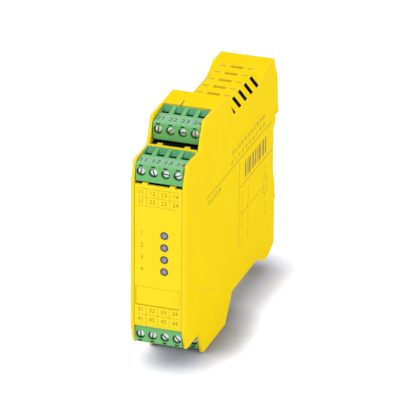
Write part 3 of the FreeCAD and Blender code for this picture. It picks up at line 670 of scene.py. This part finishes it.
# What each CAD node is made of. The slots are the names that the record gives its finishes.
FINISHES = {
    # Glass-filled polyamide, signal yellow: satin skin, soft highlights along the edges.
    "housing_plastic": MouldedPlastic("moulded_polyamide_yellow", "#FBDB00", "#F9D600", "#3A2B00",
                                      0.6, edge=0.45 * MM, open_share=0.34, specular=0.02,
                                      edge_highlight="#FFEC5A"),
    # The cover is the same polyamide from a finer mould, a little glossier.
    "cover_plastic": MouldedPlastic("moulded_polyamide_cover", "#FBDF0A", "#F9DA06", "#8A6A00",
                                    0.42, relief=0.004 * MM, open_share=0.33),
    "marker_plastic": MouldedPlastic("moulded_polyamide_marker", "#FBE00C", "#F9DB08", "#9A7800",
                                     0.4, relief=0.003 * MM),
    # The catch is unfilled acetal: waxy, so its sheen is broader.
    "catch_plastic": MouldedPlastic("moulded_acetal_catch", "#2B2B2B", "#333231", "#0A0A0A", 0.35,
                                    ior=1.48, specular=0.4),
    # Plugs: unreinforced polyamide, leaf green, with soft pale edges.
    "plug_plastic": MouldedPlastic("moulded_polyamide_green", "#70BD71", "#68B56A", "#04200F", 0.4,
                                   edge=0.22 * MM, reach=3.5 * MM, open_share=0.6,
                                   specular=0.35),
    # The headers' near-black green is painted shade: it keeps the gaps under the plugs, where a
    # header shows, dark.
    "header_plastic": MouldedPlastic("moulded_polyamide_header", "#0A1C0F", "#0E2414", "#010301",
                                     0.45, edge=0.12 * MM, reach=3 * MM),
    "lens_plastic": ClearPolycarbonate(),
    # Lamps on the small board: milky epoxy.
    "led_resin": MouldedPlastic("cast_epoxy_lamp", "#DAD9CE", "#CFCDBF", "#55534A", 0.25,
                                ior=1.52, specular=0.5),
    "board_laminate": SolderMaskedLaminate(),
    # Sealed relays: polyester case, matt and pale.
    "relay_case": MouldedPlastic("moulded_polyester_relay", "#E6E2D4", "#DCD7C6", "#4A463A",
                                 0.45),
    # Capacitor can: aluminium under a dark sleeve.
    "capacitor_can": MouldedPlastic("shrunk_pvc_sleeve", "#23304A", "#1D2940", "#05080F", 0.3,
                                    ior=1.54, specular=0.5),
    "chip_resin": MouldedPlastic("moulded_epoxy_chip", "#1B1B1C", "#232324", "#060606", 0.55),
    # Tinned copper pins: soft grey shine.
    "tinned_copper": PlatedMetal("tinned_copper", "#C9C8C4", "#A9A7A2", 0.34),
    "contact_brass": PlatedMetal("rolled_brass", "#D8B66A", "#B8934C", 0.32),
    # Zinc-plated steel: nearly white heads with a cool cast.
    "plated_screw": PlatedMetal("zinc_plated_steel", "#F2F2F6", "#D6D5DE", 0.3),
    # The clamps' nickel is set darker than bright plating: painted shade for the dark chamber under
    # the plugs where they sit.
    "plated_clamp": PlatedMetal("nickel_plated_steel", "#8F8C86", "#77746E", 0.34),
    "spring_steel": PlatedMetal("drawn_spring_steel", "#A7A6A3", "#84827E", 0.36),
}


# --- The module's own parts ----------------------------------------------------------


@dataclass
class MouldedBody:
    """Everything that keeps its CAD shape: each node gets the finish that the record names."""

    materials: dict[str, Material] = field(default_factory=dict)

    def build(self) -> None:
        """Makes one material for each slot of the record and puts it on the slot's nodes."""
        for slot_name, finish in FINISHES.items():
            self.materials[slot_name] = finish.make()
        for part in frame["record"]["subparts"]:
            self.dress(frame["nodes"][part["node"]], part["material_slot"])

    def dress(self, node: Object, slot_name: str) -> None:
        """Gives one CAD node its finish.

        Args:
            node: the CAD node's object.
            slot_name: the record's material slot.
        """
        node.data.materials.clear()
        node.data.materials.append(self.materials[slot_name])
        log.info("%s has the finish %s", node.name, self.materials[slot_name].name)


@dataclass
class VentedHousing:
    """Housing shell whose edge vents open right through the cut shoulders of its block."""

    finish: Material
    throat: Material             # the unlit walls of the vents
    rows: int = 6
    pitch: float = 7.2 * MM
    slot: float = 2.8 * MM       # slot width, front to back
    first: float = 58.39 * MM    # middle of the first row, behind the cover face
    shoulder: float = 88.8 * MM  # where the cut shoulders start to run out
    past: float = 4.0 * MM       # how far beyond it a slot may still end
    inner: float = 7.97 * MM     # slots reach from a little outside the shoulder's fold
    outer: float = 11.4 * MM     # to past the side wall
    floor: float = 38.2 * MM     # height at which a slot ends on the side wall
    top: float = 42.9 * MM

    def build(self) -> None:
        """Cuts the edge vents out of a copy of the housing and lets it stand for the node."""
        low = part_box("housing")[0]
        holder = mesh_object("raw_housing", settled(merged_copy("housing"), "raw_housing"),
                             self.finish)
        cutter = mesh_object("vent_cutter", self.cutters(low.y), self.throat)
        cut = holder.modifiers.new("vents", "BOOLEAN")
        cut.operation = "DIFFERENCE"
        cut.solver = "EXACT"
        cut.material_mode = "TRANSFER"
        cut.object = cutter
        mesh = evaluated_mesh(holder)
        bpy.data.objects.remove(cutter)
        mesh.shade_flat()
        piece = link("housing_shell", mesh)
        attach(piece, "module")
        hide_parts("housing")
        log.info("housing shell: %d faces", len(mesh.polygons))

    def cutters(self, front: float) -> Mesh:
        """Makes the blocks that cut the edge vents, above and below and on both sides.

        Args:
            front: the housing's front.

        Returns:
            One mesh with every block.
        """
        blocks = bmesh.new()
        size = Matrix.Diagonal((self.outer - self.inner, self.slot, self.top - self.floor, 1.0))
        across, up = (self.outer + self.inner) / 2, (self.top + self.floor) / 2
        for row in range(self.rows):
            middle = self.first + row * self.pitch
            if middle + self.slot / 2 < self.shoulder + self.past:
                for side in (-1, 1):
                    for end in (-1, 1):
                        spot = Matrix.Translation((side * across, front + middle, end * up))
                        bmesh.ops.create_cube(blocks, size=1.0, matrix=spot @ size)
        return settled(blocks, "vent_cutter")


@dataclass
class CatchSpring:
    """The catch's coil spring, which in the module shortens as the catch is drawn down; this copy
    keeps its CAD shape.
    """

    finish: Material
    travel: float = 3.5 * MM

    def build(self) -> None:
        """Puts a copy of the spring on the module's body, in place of its node."""
        mesh = settled(merged_copy("catch_spring"), "catch_spring_coil")
        piece = mesh_object("catch_spring_coil", mesh, self.finish)
        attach(piece, "module")
        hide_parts("catch_spring")
        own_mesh(piece)
        log.info("catch spring: %d faces", len(mesh.polygons))


@dataclass
class FrontCover:
    """Front cover that closes up to the side walls and to the lower plug."""

    finish: Material
    half_width: float = 9.83 * MM    # leaves 0.02 mm to each side wall
    near_side: float = 0.02 * MM     # what lies this near a side belongs to it
    low_edge: float = -30.45 * MM    # lower edge, just above the lower plug
    tab_zone: float = -29.4 * MM     # all that lies lower is drawn down to that edge

    def build(self) -> None:
        """Moves the edges of a copy of the cover and lets it stand for the node."""
        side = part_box("front_cover")[1].x - self.near_side
        cover = merged_copy("front_cover")
        for vertex in cover.verts:
            if abs(vertex.co.x) > side:
                vertex.co.x = math.copysign(self.half_width, vertex.co.x)
            if vertex.co.z < self.tab_zone:
                vertex.co.z = self.low_edge
        bmesh.ops.dissolve_degenerate(cover, dist=LOOSE, edges=cover.edges)
        mesh = settled(cover, "cover_plate")
        mesh.shade_flat()
        piece = mesh_object("cover_plate", mesh, self.finish)
        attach(piece, "module")
        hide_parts("front_cover")
        log.info("cover plate: %d faces", len(mesh.polygons))


@dataclass
class EntryFunnels:
    """Leaning lips that guide a wire into each terminal, four to a plug."""

    finish: Material
    pitch: float = 5.0 * MM
    width: float = 3.4 * MM
    rear: float = 12.9 * MM      # rear wall of an entry, behind the plug's face
    run: float = 2.5 * MM        # how far the lip reaches forward
    rim: float = 8.85 * MM       # height of its upper edge above the plug's underside
    fall: float = 1.45 * MM
    edge: float = 0.35 * MM      # thickness of its free edge

    def build(self) -> None:
        """Builds the lips of each plug."""
        tree = self.tree()
        for place in Place:
            self.line_up(tree, place)
        log.info("entry funnels: 16 lips")

    def lip(self) -> Mesh:
        """Makes one lip: a wedge that hangs from the entry's rear wall.

        Returns:
            Its mesh, centred across the entry, with its rear on Y = 0 and its rim on Z = 0.
        """
        wedge = bmesh.new()
        section = ((0.0, 0.0), (-self.run, -self.fall), (-self.run, -self.fall - self.edge),
                   (0.0, -self.fall - 2 * self.edge))
        left, right = ([wedge.verts.new((x, y, z)) for y, z in section]
                       for x in (-self.width / 2, self.width / 2))
        wedge.faces.new(left)
        wedge.faces.new(right)
        for index, after in ((0, 1), (1, 2), (2, 3), (3, 0)):
            wedge.faces.new((left[index], left[after], right[after], right[index]))
        bmesh.ops.recalc_face_normals(wedge, faces=wedge.faces)
        return settled(wedge, "lip")

    def tree(self) -> NodeTree:
        """Builds the tree that sets the lip in a row.

        Returns:
            The tree, whose inputs are the row's count and pitch and the finish.
        """
        tree = geometry_tree("row_of_lips", {"Lip": "Geometry", "Count": "Int",
                                             "Pitch": "Float", "Finish": "Material"})
        sizes = add_node(tree, "NodeGroupInput").outputs
        half = calc(tree, "MULTIPLY", calc(tree, "SUBTRACT", sizes["Count"], 1.0), -0.5)
        row = row_of(tree, sizes["Lip"], sizes["Count"],
                     vector(tree, X=calc(tree, "MULTIPLY", half, sizes["Pitch"])),
                     vector(tree, X=sizes["Pitch"]))
        end_tree(tree, row, sizes["Finish"])
        return tree

    def line_up(self, tree: NodeTree, place: Place) -> None:
        """Makes the four lips of one plug.

        Args:
            tree: the tree that sets them in a row.
            place: which plug.
        """
        node = "plug_" + place.value
        low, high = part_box(node)
        mesh = grown(tree, self.lip(), {"Count": POLES, "Pitch": self.pitch, "Finish": self.finish})
        foot = low.z if place.side > 0 else high.z
        turn = Matrix.Rotation(0.0 if place.side > 0 else math.pi, 4, "Y")
        spot = Vector((0.0, low.y + self.rear, foot + place.side * self.rim))
        mesh.transform(Matrix.Translation(spot) @ turn)
        lips = mesh_object("entry_lips_" + place.value, mesh, self.finish)
        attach(lips, node)


@dataclass
class TerminalScrews:
    """Sixteen slotted screws with rolled threads, one tree of nodes for all."""

    finish: Material
    sink: float = 0.3 * MM           # head's face behind the node's front end
    dome_power: float = 3.5          # how late the head falls off towards its rim
    ridge_share: float = 0.42        # half a ridge, in thread pitches
    slot_reach: float = 2.4          # length of the slot's cutter, in head radii
    top_zone: float = 0.05 * MM      # what lies this near the head's top is domed
    head_sides: int = 32
    shank_sides: int = 16
    sizes: dict[str, float] = field(default_factory=lambda: {
        "Head Radius": 1.55 * MM, "Head Length": 1.3 * MM, "Head Round": 0.22 * MM,
        "Slot Width": 0.62 * MM, "Slot Depth": 0.85 * MM, "Core Radius": 0.98 * MM,
        "Thread Radius": 1.2 * MM, "Thread Pitch": 0.45 * MM})
    # Slot directions, from the left of each plug, in degrees from the level.
    slots: dict[Place, tuple[float, ...]] = field(default_factory=lambda: {
        Place.TOP_FRONT: (78.0, 102.0, -4.0, 24.0),
        Place.TOP_REAR: (84.0, 48.0, 6.0, 92.0),
        Place.BOTTOM_FRONT: (94.0, 82.0, -40.0, -48.0),
        Place.BOTTOM_REAR: (20.0, 70.0, 110.0, 42.0),
    })

    def build(self) -> None:
        """Builds every screw and lets it stand for its CAD node."""
        tree = self.tree()
        for place in Place:
            names = sorted((f"screw_{place.value}_{pole}" for pole in range(1, POLES + 1)),
                           key=lambda name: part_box(name)[0].x)
            for name, turn in zip(names, self.slots[place]):
                self.make_screw(tree, name, turn)
        log.info("terminal screws: 16 slotted heads with threads")

    def make_screw(self, tree: NodeTree, name: str, turn: float) -> None:
        """Makes one screw.

        Args:
            tree: the screw's geometry tree.
            name: the CAD node that it stands for, also its body.
            turn: direction of its slot in degrees.
        """
        low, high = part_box(name)
        mesh = grown(tree, bpy.data.meshes.new("raw_" + name), {
            **self.sizes, "Length": high.y - low.y - self.sink, "Finish": self.finish})
        mesh.transform(Matrix.Translation(((low.x + high.x) / 2, low.y + self.sink,
                                           (low.z + high.z) / 2))
                       @ Matrix.Rotation(math.radians(90), 4, "X")
                       @ Matrix.Rotation(math.radians(turn), 4, "Z"))
        screw = mesh_object(name.replace("screw", "slotted_screw"), mesh, self.finish)
        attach(screw, name)
        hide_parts(name)

    def tree(self) -> NodeTree:
        """Builds the screw's geometry tree: its head faces up along Z with its top at zero.

        Returns:
            The tree, whose inputs are the screw's sizes.
        """
        tree = geometry_tree("slotted_terminal_screw", {
            **dict.fromkeys((*self.sizes, "Length"), "Float"), "Finish": "Material"})
        sizes = add_node(tree, "NodeGroupInput").outputs
        parts = [self.head(tree, sizes), self.shank(tree, sizes)]
        joined = add_node(tree, "GeometryNodeJoinGeometry", inputs={"Geometry": parts})
        end_tree(tree, joined.outputs[0], sizes["Finish"])
        return tree

    def head(self, tree: NodeTree, sizes: NodeOutputs) -> NodeSocket:
        """Adds the domed head with its slot.

        Args:
            tree: the screw's tree.
            sizes: the outputs of its group input.

        Returns:
            The socket that carries the head.
        """
        radius, depth = sizes["Head Radius"], sizes["Head Length"]
        disc = add_node(tree, "GeometryNodeMeshCylinder", {"fill_type": "TRIANGLE_FAN"}, {
            "Vertices": self.head_sides, "Side Segments": 2, "Fill Segments": 6, "Radius": radius,
            "Depth": depth})
        spot = split(tree, add_node(tree, "GeometryNodeInputPosition").outputs[0])
        share = calc(tree, "DIVIDE", length(tree, spot["X"], spot["Y"]), radius)
        fall = calc(tree, "MULTIPLY", calc(tree, "POWER", share, self.dome_power),
                    sizes["Head Round"])
        top = add_node(tree, "FunctionNodeCompare",
                       {"data_type": "FLOAT", "operation": "GREATER_THAN"},
                       {0: spot["Z"], 1: -self.top_zone})
        domed = add_node(tree, "GeometryNodeSetPosition", inputs={
            "Geometry": lowered(tree, disc.outputs["Mesh"], calc(tree, "MULTIPLY", depth, -0.5)),
            "Selection": top.outputs[0],
            "Offset": vector(tree, Z=calc(tree, "MULTIPLY", fall, -1.0))})
        bar = add_node(tree, "GeometryNodeMeshCube", inputs={"Size": vector(
            tree, X=calc(tree, "MULTIPLY", radius, self.slot_reach), Y=sizes["Slot Width"],
            Z=calc(tree, "MULTIPLY", sizes["Slot Depth"], 2.0))})
        slotted = add_node(tree, "GeometryNodeMeshBoolean",
                           {"operation": "DIFFERENCE", "solver": "EXACT"},
                           {"Mesh 1": domed.outputs[0], "Mesh 2": bar.outputs["Mesh"]})
        return slotted.outputs["Mesh"]

    def shank(self, tree: NodeTree, sizes: NodeOutputs) -> NodeSocket:
        """Adds the shank: a core, and one ridge for each turn of the thread.

        Args:
            tree: the screw's tree.
            sizes: the outputs of its group input.

        Returns:
            The socket that carries the shank.
        """
        head, pitch = sizes["Head Length"], sizes["Thread Pitch"]
        run = calc(tree, "SUBTRACT", sizes["Length"], head)
        core = add_node(tree, "GeometryNodeMeshCylinder", inputs={
            "Vertices": self.shank_sides, "Radius": sizes["Core Radius"], "Depth": run})
        under = calc(tree, "SUBTRACT", calc(tree, "MULTIPLY", run, -0.5), head)
        first = calc(tree, "SUBTRACT", calc(tree, "MULTIPLY", pitch, -0.5), head)
        slope = calc(tree, "MULTIPLY", pitch, self.ridge_share)
        cones = []
        for angle in (0.0, math.pi):
            cone = add_node(tree, "GeometryNodeMeshCone", inputs={
                "Vertices": self.shank_sides, "Radius Top": sizes["Core Radius"],
                "Radius Bottom": sizes["Thread Radius"], "Depth": slope})
            cones.append(add_node(tree, "GeometryNodeTransform", inputs={
                "Geometry": cone.outputs["Mesh"], "Rotation": (angle, 0.0, 0.0)}).outputs[0])
        ridge = add_node(tree, "GeometryNodeJoinGeometry", inputs={"Geometry": cones})
        ridges = row_of(tree, ridge.outputs[0],
                        calc(tree, "FLOOR", calc(tree, "DIVIDE", run, pitch)),
                        vector(tree, Z=first),
                        vector(tree, Z=calc(tree, "MULTIPLY", pitch, -1.0)))
        return add_node(tree, "GeometryNodeJoinGeometry", inputs={
            "Geometry": [lowered(tree, core.outputs["Mesh"], under), ridges]}).outputs[0]


# A stroke: where it starts and ends, to the reader's right and up, in millimetres.
Stroke = tuple[float, float, float, float]


@dataclass
class PrintSheet:
    """Flat ink marks on one face of a part: strokes and plain numbers."""

    name: str
    origin: Vector               # where the sheet's zero lies, on the face
    right: Vector                # the reader's right
    up: Vector                   # the reader's up
    ink: Material
    body: str
    slot_name: str
    thickness: float = 0.016 * MM
    capital: float = 0.7         # height of a digit, in sizes of its font
    curve_steps: int = 3
    weld: float = 1e-7
    mesh: bmesh.types.BMesh = field(default_factory=bmesh.new)

    def strokes(self, width: float, *rows: Stroke) -> None:
        """Adds straight strokes.

        Args:
            width: their width in millimetres.
            rows: the strokes.
        """
        half = self.thickness / MM / 2
        for x0, y0, x1, y1 in rows:
            along = Vector((x1 - x0, y1 - y0, 0.0))
            side = Vector((-along.y, along.x, 0.0)).normalized() * width / 2
            corners = [self.mesh.verts.new((Vector((x, y, height)) + sign * side) * MM)
                       for height in (-half, half)
                       for x, y, sign in ((x0, y0, -1), (x1, y1, -1), (x1, y1, 1), (x0, y0, 1))]
            for ring in ((3, 2, 1, 0), (4, 5, 6, 7), (0, 1, 5, 4), (1, 2, 6, 5), (2, 3, 7, 6),
                         (3, 0, 4, 7)):
                self.mesh.faces.new([corners[i] for i in ring])

    def number(self, value: int, x: float, y: float, height: float) -> None:
        """Adds a plain number.

        Args:
            value: the number.
            x: its middle, to the right, in millimetres.
            y: its middle, up, in millimetres.
            height: height of its digits in millimetres.
        """
        curve = bpy.data.curves.new("digits", "FONT")
        curve.body = str(value)
        curve.size = height * MM / self.capital
        curve.align_x = curve.align_y = "CENTER"
        curve.extrude = self.thickness / 2
        curve.resolution_u = self.curve_steps
        flat = evaluated_mesh(link("digits", curve))
        flat.transform(Matrix.Translation((x * MM, y * MM, 0.0)))
        self.mesh.from_mesh(flat)
        bpy.data.meshes.remove(flat)

    def finish(self) -> None:
        """Turns the marks into one piece on its face."""
        bmesh.ops.remove_doubles(self.mesh, verts=self.mesh.verts, dist=self.weld)
        made = settled(self.mesh, self.name)
        normal = self.right.cross(self.up).normalized()
        turn = Matrix((self.right, self.up, normal)).transposed().to_4x4()
        made.transform(Matrix.Translation(self.origin) @ turn)
        piece = mesh_object(self.name, made, self.ink)
        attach(piece, self.body)
        log.info("%s: %d faces of ink on %s", self.name, len(made.polygons), self.body)


@dataclass
class CoverPrint:
    """Print on the front cover: two small tables of terminal numbers and one beside the lamps."""

    ink: Material
    line: float = 0.12
    digit: float = 1.75
    cell: float = 4.7
    columns: int = 4
    inset: float = 0.9           # how far a table stays inside its outer cells
    top_rows: tuple[float, ...] = (28.2, 24.6, 20.9)
    low_rows: tuple[float, ...] = (-21.3, -25.2, -29.3)
    lamp_column: float = -6.6
    lamps: int = 4

    def build(self) -> None:
        """Draws the tables on the cover's face."""
        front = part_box("front_cover")[0].y
        sheet = PrintSheet("cover_print", Vector((0.0, front, 0.0)), RIGHT, UP, self.ink,
                           "module", "cover_plastic")
        half = self.cell * self.columns / 2 - self.inset
        upright = (-self.cell, 0.0, self.cell)
        sheet.strokes(self.line, *((-half, y, half, y) for y in self.top_rows),
                      *((x, self.top_rows[-1], x, self.top_rows[0]) for x in upright))
        self.numbers(sheet, self.top_rows, 11, 10)
        sheet.strokes(self.line, *((-half, y, half, y) for y in self.low_rows[:2]),
                      *((x, self.low_rows[-1], x, self.low_rows[0]) for x in upright))
        self.numbers(sheet, self.low_rows, 31, 10)
        low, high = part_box("light_guide")
        tip = high.x - low.x
        for index in range(self.lamps):
            height = high.z - tip / 2 - index * (high.z - low.z - tip) / (self.lamps - 1)
            sheet.number(index + 1, self.lamp_column, height / MM, self.digit)
        sheet.finish()

    def numbers(self, sheet: PrintSheet, rows: tuple[float, ...], first: int, step: int) -> None:
        """Fills a table of two rows.

        Args:
            sheet: the cover's print.
            rows: the heights of its lines.
            first: its first number.
            step: from one row's numbers to the next's.
        """
        for row in range(2):
            for column in range(self.columns):
                sheet.number(first + step * row + column,
                             (column - (self.columns - 1) / 2) * self.cell,
                             (rows[row] + rows[row + 1]) / 2, self.digit)


@dataclass
class SidePrint:
    """Print on the right wall: two rules, a row of plain bars and a generic contact diagram."""

    ink: Material
    # painted shade along the mould's steps
    step_shade_ink: Material
    line: float = 0.24
    thin: float = 0.19
    link_line: float = 0.133
    step_line: float = 0.28
    sweep_line: float = 0.24
    step_shade_film: float = 0.012 * MM
    bar_gap: float = 0.5
    digit: float = 1.7
    rules: tuple[Stroke, ...] = ((24.8, 15.9, 105.0, 15.9), (66.0, 3.3, 107.0, 3.3),
                                 (65.0, 14.6, 65.0, -22.0))
    bar_widths: tuple[float, ...] = (1.0, 0.5, 0.5, 1.4, 0.5, 1.0)
    bar_span: tuple[float, float] = (72.5, 99.0)
    bar_ends: tuple[float, float] = (5.2, 12.2)
    # Rows of counting numbers: start, step, how many, height, first number.
    scales: tuple[tuple[float, float, int, float, int], ...] = (
        (55.5, 4.4, 10, 18.3, 10), (57.0, 3.8, 11, 22.0, 50), (28.0, 3.2, 5, 12.9, 20))
    # One contact, from its own line: feed, return, blade and tail. Then the coil.
    contact: tuple[Stroke, ...] = ((0, 0.5, 0, -7.5), (0, -10.0, 0, -17.0),
                                   (0, -10.0, -1.6, -7.3), (0, -18.5, 0, -23.5))
    contact_lines: tuple[float, ...] = (69.0, 76.5)
    linkage: Stroke = (68.0, -8.8, 98.0, -8.8)
    coil: tuple[Stroke, ...] = ((96.0, -12.0, 100.0, -12.0), (96.0, -5.5, 100.0, -5.5),
                                (96.0, -12.0, 96.0, -5.5), (100.0, -12.0, 100.0, -5.5),
                                (98.0, 0.5, 98.0, -5.5), (98.0, -12.0, 98.0, -19.0),
                                (96.8, -20.4, 99.2, -20.4))
    # Painted shade along the mould's steps: the steps beside the plugs, above and below, and the
    # sweep along the front.
    steps: tuple[Stroke, ...] = ((10.2, 15.7, 36.7, 27.7), (36.7, 27.7, 37.2, 41.5))
    sweep: tuple[Stroke, ...] = ((5.6, -29.0, 5.8, 6.0), (5.8, 6.0, 7.2, 14.5),
                                 (7.2, 14.5, 10.4, 22.0), (10.4, 22.0, 15.5, 29.0))

    def build(self) -> None:
        """Draws the print on the right wall, and painted shade along the mould's steps on both side
        walls.
        """
        low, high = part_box("housing")
        sheet = PrintSheet("side_print", Vector((high.x, low.y, 0.0)), BACK, UP, self.ink,
                           "module", "housing_plastic")
        sheet.strokes(self.line, *self.rules)
        self.bars(sheet)
        for depth in self.contact_lines:
            sheet.strokes(self.thin, *((depth + x0, y0, depth + x1, y1)
                                       for x0, y0, x1, y1 in self.contact))
        sheet.strokes(self.link_line, self.linkage)
        sheet.strokes(self.thin, *self.coil)
        for start, step, count, height, first in self.scales:
            for index in range(count):
                sheet.number(first + index, start + index * step, height, self.digit)
        sheet.finish()
        for name, x, right in (("right", high.x, 1), ("left", low.x, -1)):
            self.step_shade_strips("witness_lines_" + name, Vector((x, low.y, 0.0)), right)

    def bars(self, sheet: PrintSheet) -> None:
        """Draws the even row of plain bars.

        Args:
            sheet: the wall's print.
        """
        (start, end), (foot, top) = self.bar_span, self.bar_ends
        index, count = 0, len(self.bar_widths)
        while start < end:
            width = self.bar_widths[index % count]
            sheet.strokes(width, (start, foot, start, top))
            start += width + self.bar_widths[(index * 5 + 2) % count] + self.bar_gap
            index += 1

    def step_shade_strips(self, name: str, origin: Vector, right: int) -> None:
        """Draws darker strips of painted shade along the shallow steps that the mould's sliders
        leave on a side wall.

        Args:
            name: the piece's name.
            origin: the front of the wall's outer face.
            right: direction in which depth grows for the reader.
        """
        sheet = PrintSheet(name, origin, right * BACK, UP, self.step_shade_ink, "module",
                           "housing_plastic", thickness=self.step_shade_film)
        sheet.strokes(self.step_line, *((right * x0, up * y0, right * x1, up * y1)
                                        for up in (1, -1) for x0, y0, x1, y1 in self.steps))
        sheet.strokes(self.sweep_line, *((right * x0, y0, right * x1, y1)
                                         for x0, y0, x1, y1 in self.sweep))
        sheet.finish()


@dataclass
class PlugLabels:
    """Pale label strips on the slopes of the four plugs, with plain numbers; the strips' pale tone
    is partly their own and partly painted light on the upward slopes.
    """

    ink: Material
    # the strips' tone: the label strip's own paler green, lifted by painted light on the upward
    # slope
    strip_tone_and_light: Material
    margin: float = 0.5
    digit: float = 2.7
    digit_drop: float = 0.2
    strip_run: float = 7.1
    strip_rise: float = 0.8
    strip_film: float = 0.008 * MM
    face: float = 7.1            # height of the screw face, where the strip starts
    pitch: float = 5.0

    def build(self) -> None:
        """Prints the numbers of each plug's terminals."""
        for first, place in zip((11, 21, 31, 41), Place):
            self.label(place, first)

    def label(self, place: Place, first: int) -> None:
        """Prints one strip.

        Args:
            place: which plug.
            first: its first number.
        """
        node = "plug_" + place.value
        low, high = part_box(node)
        side = place.side
        foot = low.z if side > 0 else high.z
        top = foot + side * (self.face + self.strip_rise / 2) * MM
        run = Vector((0, self.strip_run, side * self.strip_rise)).normalized()
        middle = Vector((0.0, low.y + self.strip_run / 2 * MM, top))
        strip = PrintSheet("strip_" + place.value, middle, side * RIGHT, run, self.strip_tone_and_light, node,
                           "plug_plastic", thickness=self.strip_film)
        half = (high.x - low.x) / MM / 2 - self.margin
        strip.strokes(self.strip_run - 2 * self.margin, (-half, 0.0, half, 0.0))
        strip.finish()
        sheet = PrintSheet("numbers_" + place.value, middle, side * RIGHT, run, self.ink, node,
                           "plug_plastic")
        for pole in range(POLES):
            sheet.number(first + pole, (pole - (POLES - 1) / 2) * self.pitch, -self.digit_drop,
                         self.digit)
        sheet.finish()


# --- Studio --------------------------------------------------------------------------


@dataclass
class Studio:
    """White table, even white surroundings and two soft lamps."""

    world_strength: float = 0.8
    table_half: float = 1.5
    # The lamps: name, where it hangs in metres, its side in metres, its power in watts.
    lamps: tuple[tuple[str, tuple[float, float, float], float, float], ...] = (
        ("key_lamp", (-0.5, -0.9, 1.1), 0.8, 6.0), ("side_lamp", (1.2, -0.5, 0.5), 0.7, 3.4))

    def build(self) -> None:
        """Builds the table, the surroundings and the lamps."""
        self.table()
        self.surroundings()
        for name, spot, size, power in self.lamps:
            data = bpy.data.lights.new(name, "AREA")
            data.size = size
            data.energy = power
            place = Vector(spot)
            toward = (Vector((0, -MIDDLE_DEPTH, 0)) - place).to_track_quat("-Z", "Y")
            link(name, data).matrix_world = (Matrix.Translation(place)
                                             @ toward.to_matrix().to_4x4())
        log.info("studio: table, surroundings and two lamps")

    def table(self) -> None:
        """Lays the table under the module's lowest point."""
        floor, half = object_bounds()[0][2], self.table_half
        mesh = bpy.data.meshes.new("table")
        mesh.from_pydata([(-half, -half, floor), (half, -half, floor), (half, half, floor),
                          (-half, half, floor)], [], [(0, 1, 2, 3)])
        mesh_object("table", mesh, TableTop().make())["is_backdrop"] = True

    def surroundings(self) -> None:
        """Makes the world an even white, at full strength to camera, glossy and clear rays."""
        world = bpy.data.worlds.new("white_room")
        bpy.context.scene.world = world
        world.use_nodes = True
        tree = world.node_tree
        tree.nodes.clear()
        path = add_node(tree, "ShaderNodeLightPath").outputs
        direct = calc(tree, "MAXIMUM", calc(tree, "MAXIMUM", path["Is Camera Ray"],
                                            path["Is Transmission Ray"]), path["Is Glossy Ray"])
        light, white = (add_node(tree, "ShaderNodeBackground", inputs={
            "Color": linear("#FFFFFF"), "Strength": strength}).outputs[0]
                        for strength in (self.world_strength, 1.0))
        mixed = add_node(tree, "ShaderNodeMixShader", inputs={0: direct, 1: light, 2: white})
        add_node(tree, "ShaderNodeOutputWorld", inputs={"Surface": mixed.outputs[0]})


@dataclass
class CameraRig:
    """Long lens that looks down at the module's right front edge."""

    azimuth: float = 18.66
    elevation: float = 24.27
    roll: float = 0.5
    distance: float = 2.0
    lens: float = 447.2
    aim: tuple[float, float, float] = (0.0, -0.0531, 0.0)
    slide_right: float = -0.00079
    slide_up: float = -0.00163
    film: float = 36.0           # width of the picture on the film, in millimetres
    far: float = 20.0            # nothing beyond this is drawn

    def build(self) -> None:
        """Makes the scene's camera."""
        azimuth, elevation = math.radians(self.azimuth), math.radians(self.elevation)
        back = Vector((math.sin(azimuth) * math.cos(elevation),
                       -math.cos(azimuth) * math.cos(elevation), math.sin(elevation)))
        turn = back.to_track_quat("Z", "Y").to_matrix().to_4x4()
        turn = turn @ Matrix.Rotation(math.radians(self.roll), 4, "Z")
        aim = (Vector(self.aim) + turn.col[0].xyz * self.slide_right
               + turn.col[1].xyz * self.slide_up)
        data = bpy.data.cameras.new("long_lens")
        data.lens = self.lens
        data.sensor_width = self.film
        data.clip_end = self.far
        camera = link("camera", data)
        camera.matrix_world = Matrix.Translation(aim + back * self.distance) @ turn
        bpy.context.scene.camera = camera
        log.info("camera: %.1f mm lens at %.2f m", self.lens, self.distance)


def main() -> None:
    """Builds the scene in order."""
    logging.basicConfig(level=logging.INFO, format="%(message)s")
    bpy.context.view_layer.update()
    bpy.context.scene.view_settings.view_transform = "Standard"
    body = MouldedBody()
    body.build()
    # Grey-brown pad ink on yellow, dark green on the label strips, pale green strips that are
    # partly painted light, and painted shade in deeper yellow along the steps that the mould's
    # sliders leave.
    wall_ink = PadInk("pad_ink_umber", "#94781C", "#AE9022").make()
    side_ink = PadInk("pad_ink_sepia", "#503C0C", "#674D14").make()
    label_ink = PadInk("pad_ink_dark", "#1B2F29", "#27443A").make()
    # The pale strip green is partly the label strip's own tone and partly painted light on the
    # slope that faces up.
    strip_paint_and_light = PadInk("strip_paint_and_light", "#8AC294", "#82BA8D").make()
    # Painted shade along the mould's steps: the deeper yellow stands for the shade of each shallow
    # step.
    step_shade_ink = PadInk("mould_step_painted_shade", "#E2C20C", "#E8C80A", patch=3 * MM).make()
    # Inside a vent hardly any light arrives, so its walls read as a dull umber black.
    throat = MouldedPlastic("unlit_vent_wall", "#1A1402", "#120E02", "#040300", 0.6).make()
    # The lips stand deep between the plug's ribs: this darker teal copy of the plug's green, with a
    # wider reach of painted shade, is painted shade for that hollow.
    lip = MouldedPlastic("moulded_polyamide_lip_in_shade", "#4E9F74", "#48986E", "#04200F", 0.4,
                         edge=0.22 * MM, reach=5 * MM, open_share=0.8, specular=0.3).make()
    VentedHousing(body.materials["housing_plastic"], throat).build()
    CatchSpring(body.materials["spring_steel"]).build()
    FrontCover(body.materials["cover_plastic"]).build()
    EntryFunnels(lip).build()
    TerminalScrews(body.materials["plated_screw"]).build()
    CoverPrint(wall_ink).build()
    SidePrint(side_ink, step_shade_ink).build()
    PlugLabels(label_ink, strip_paint_and_light).build()
    Studio().build()
    CameraRig().build()


if __name__ == "__main__":
    main()
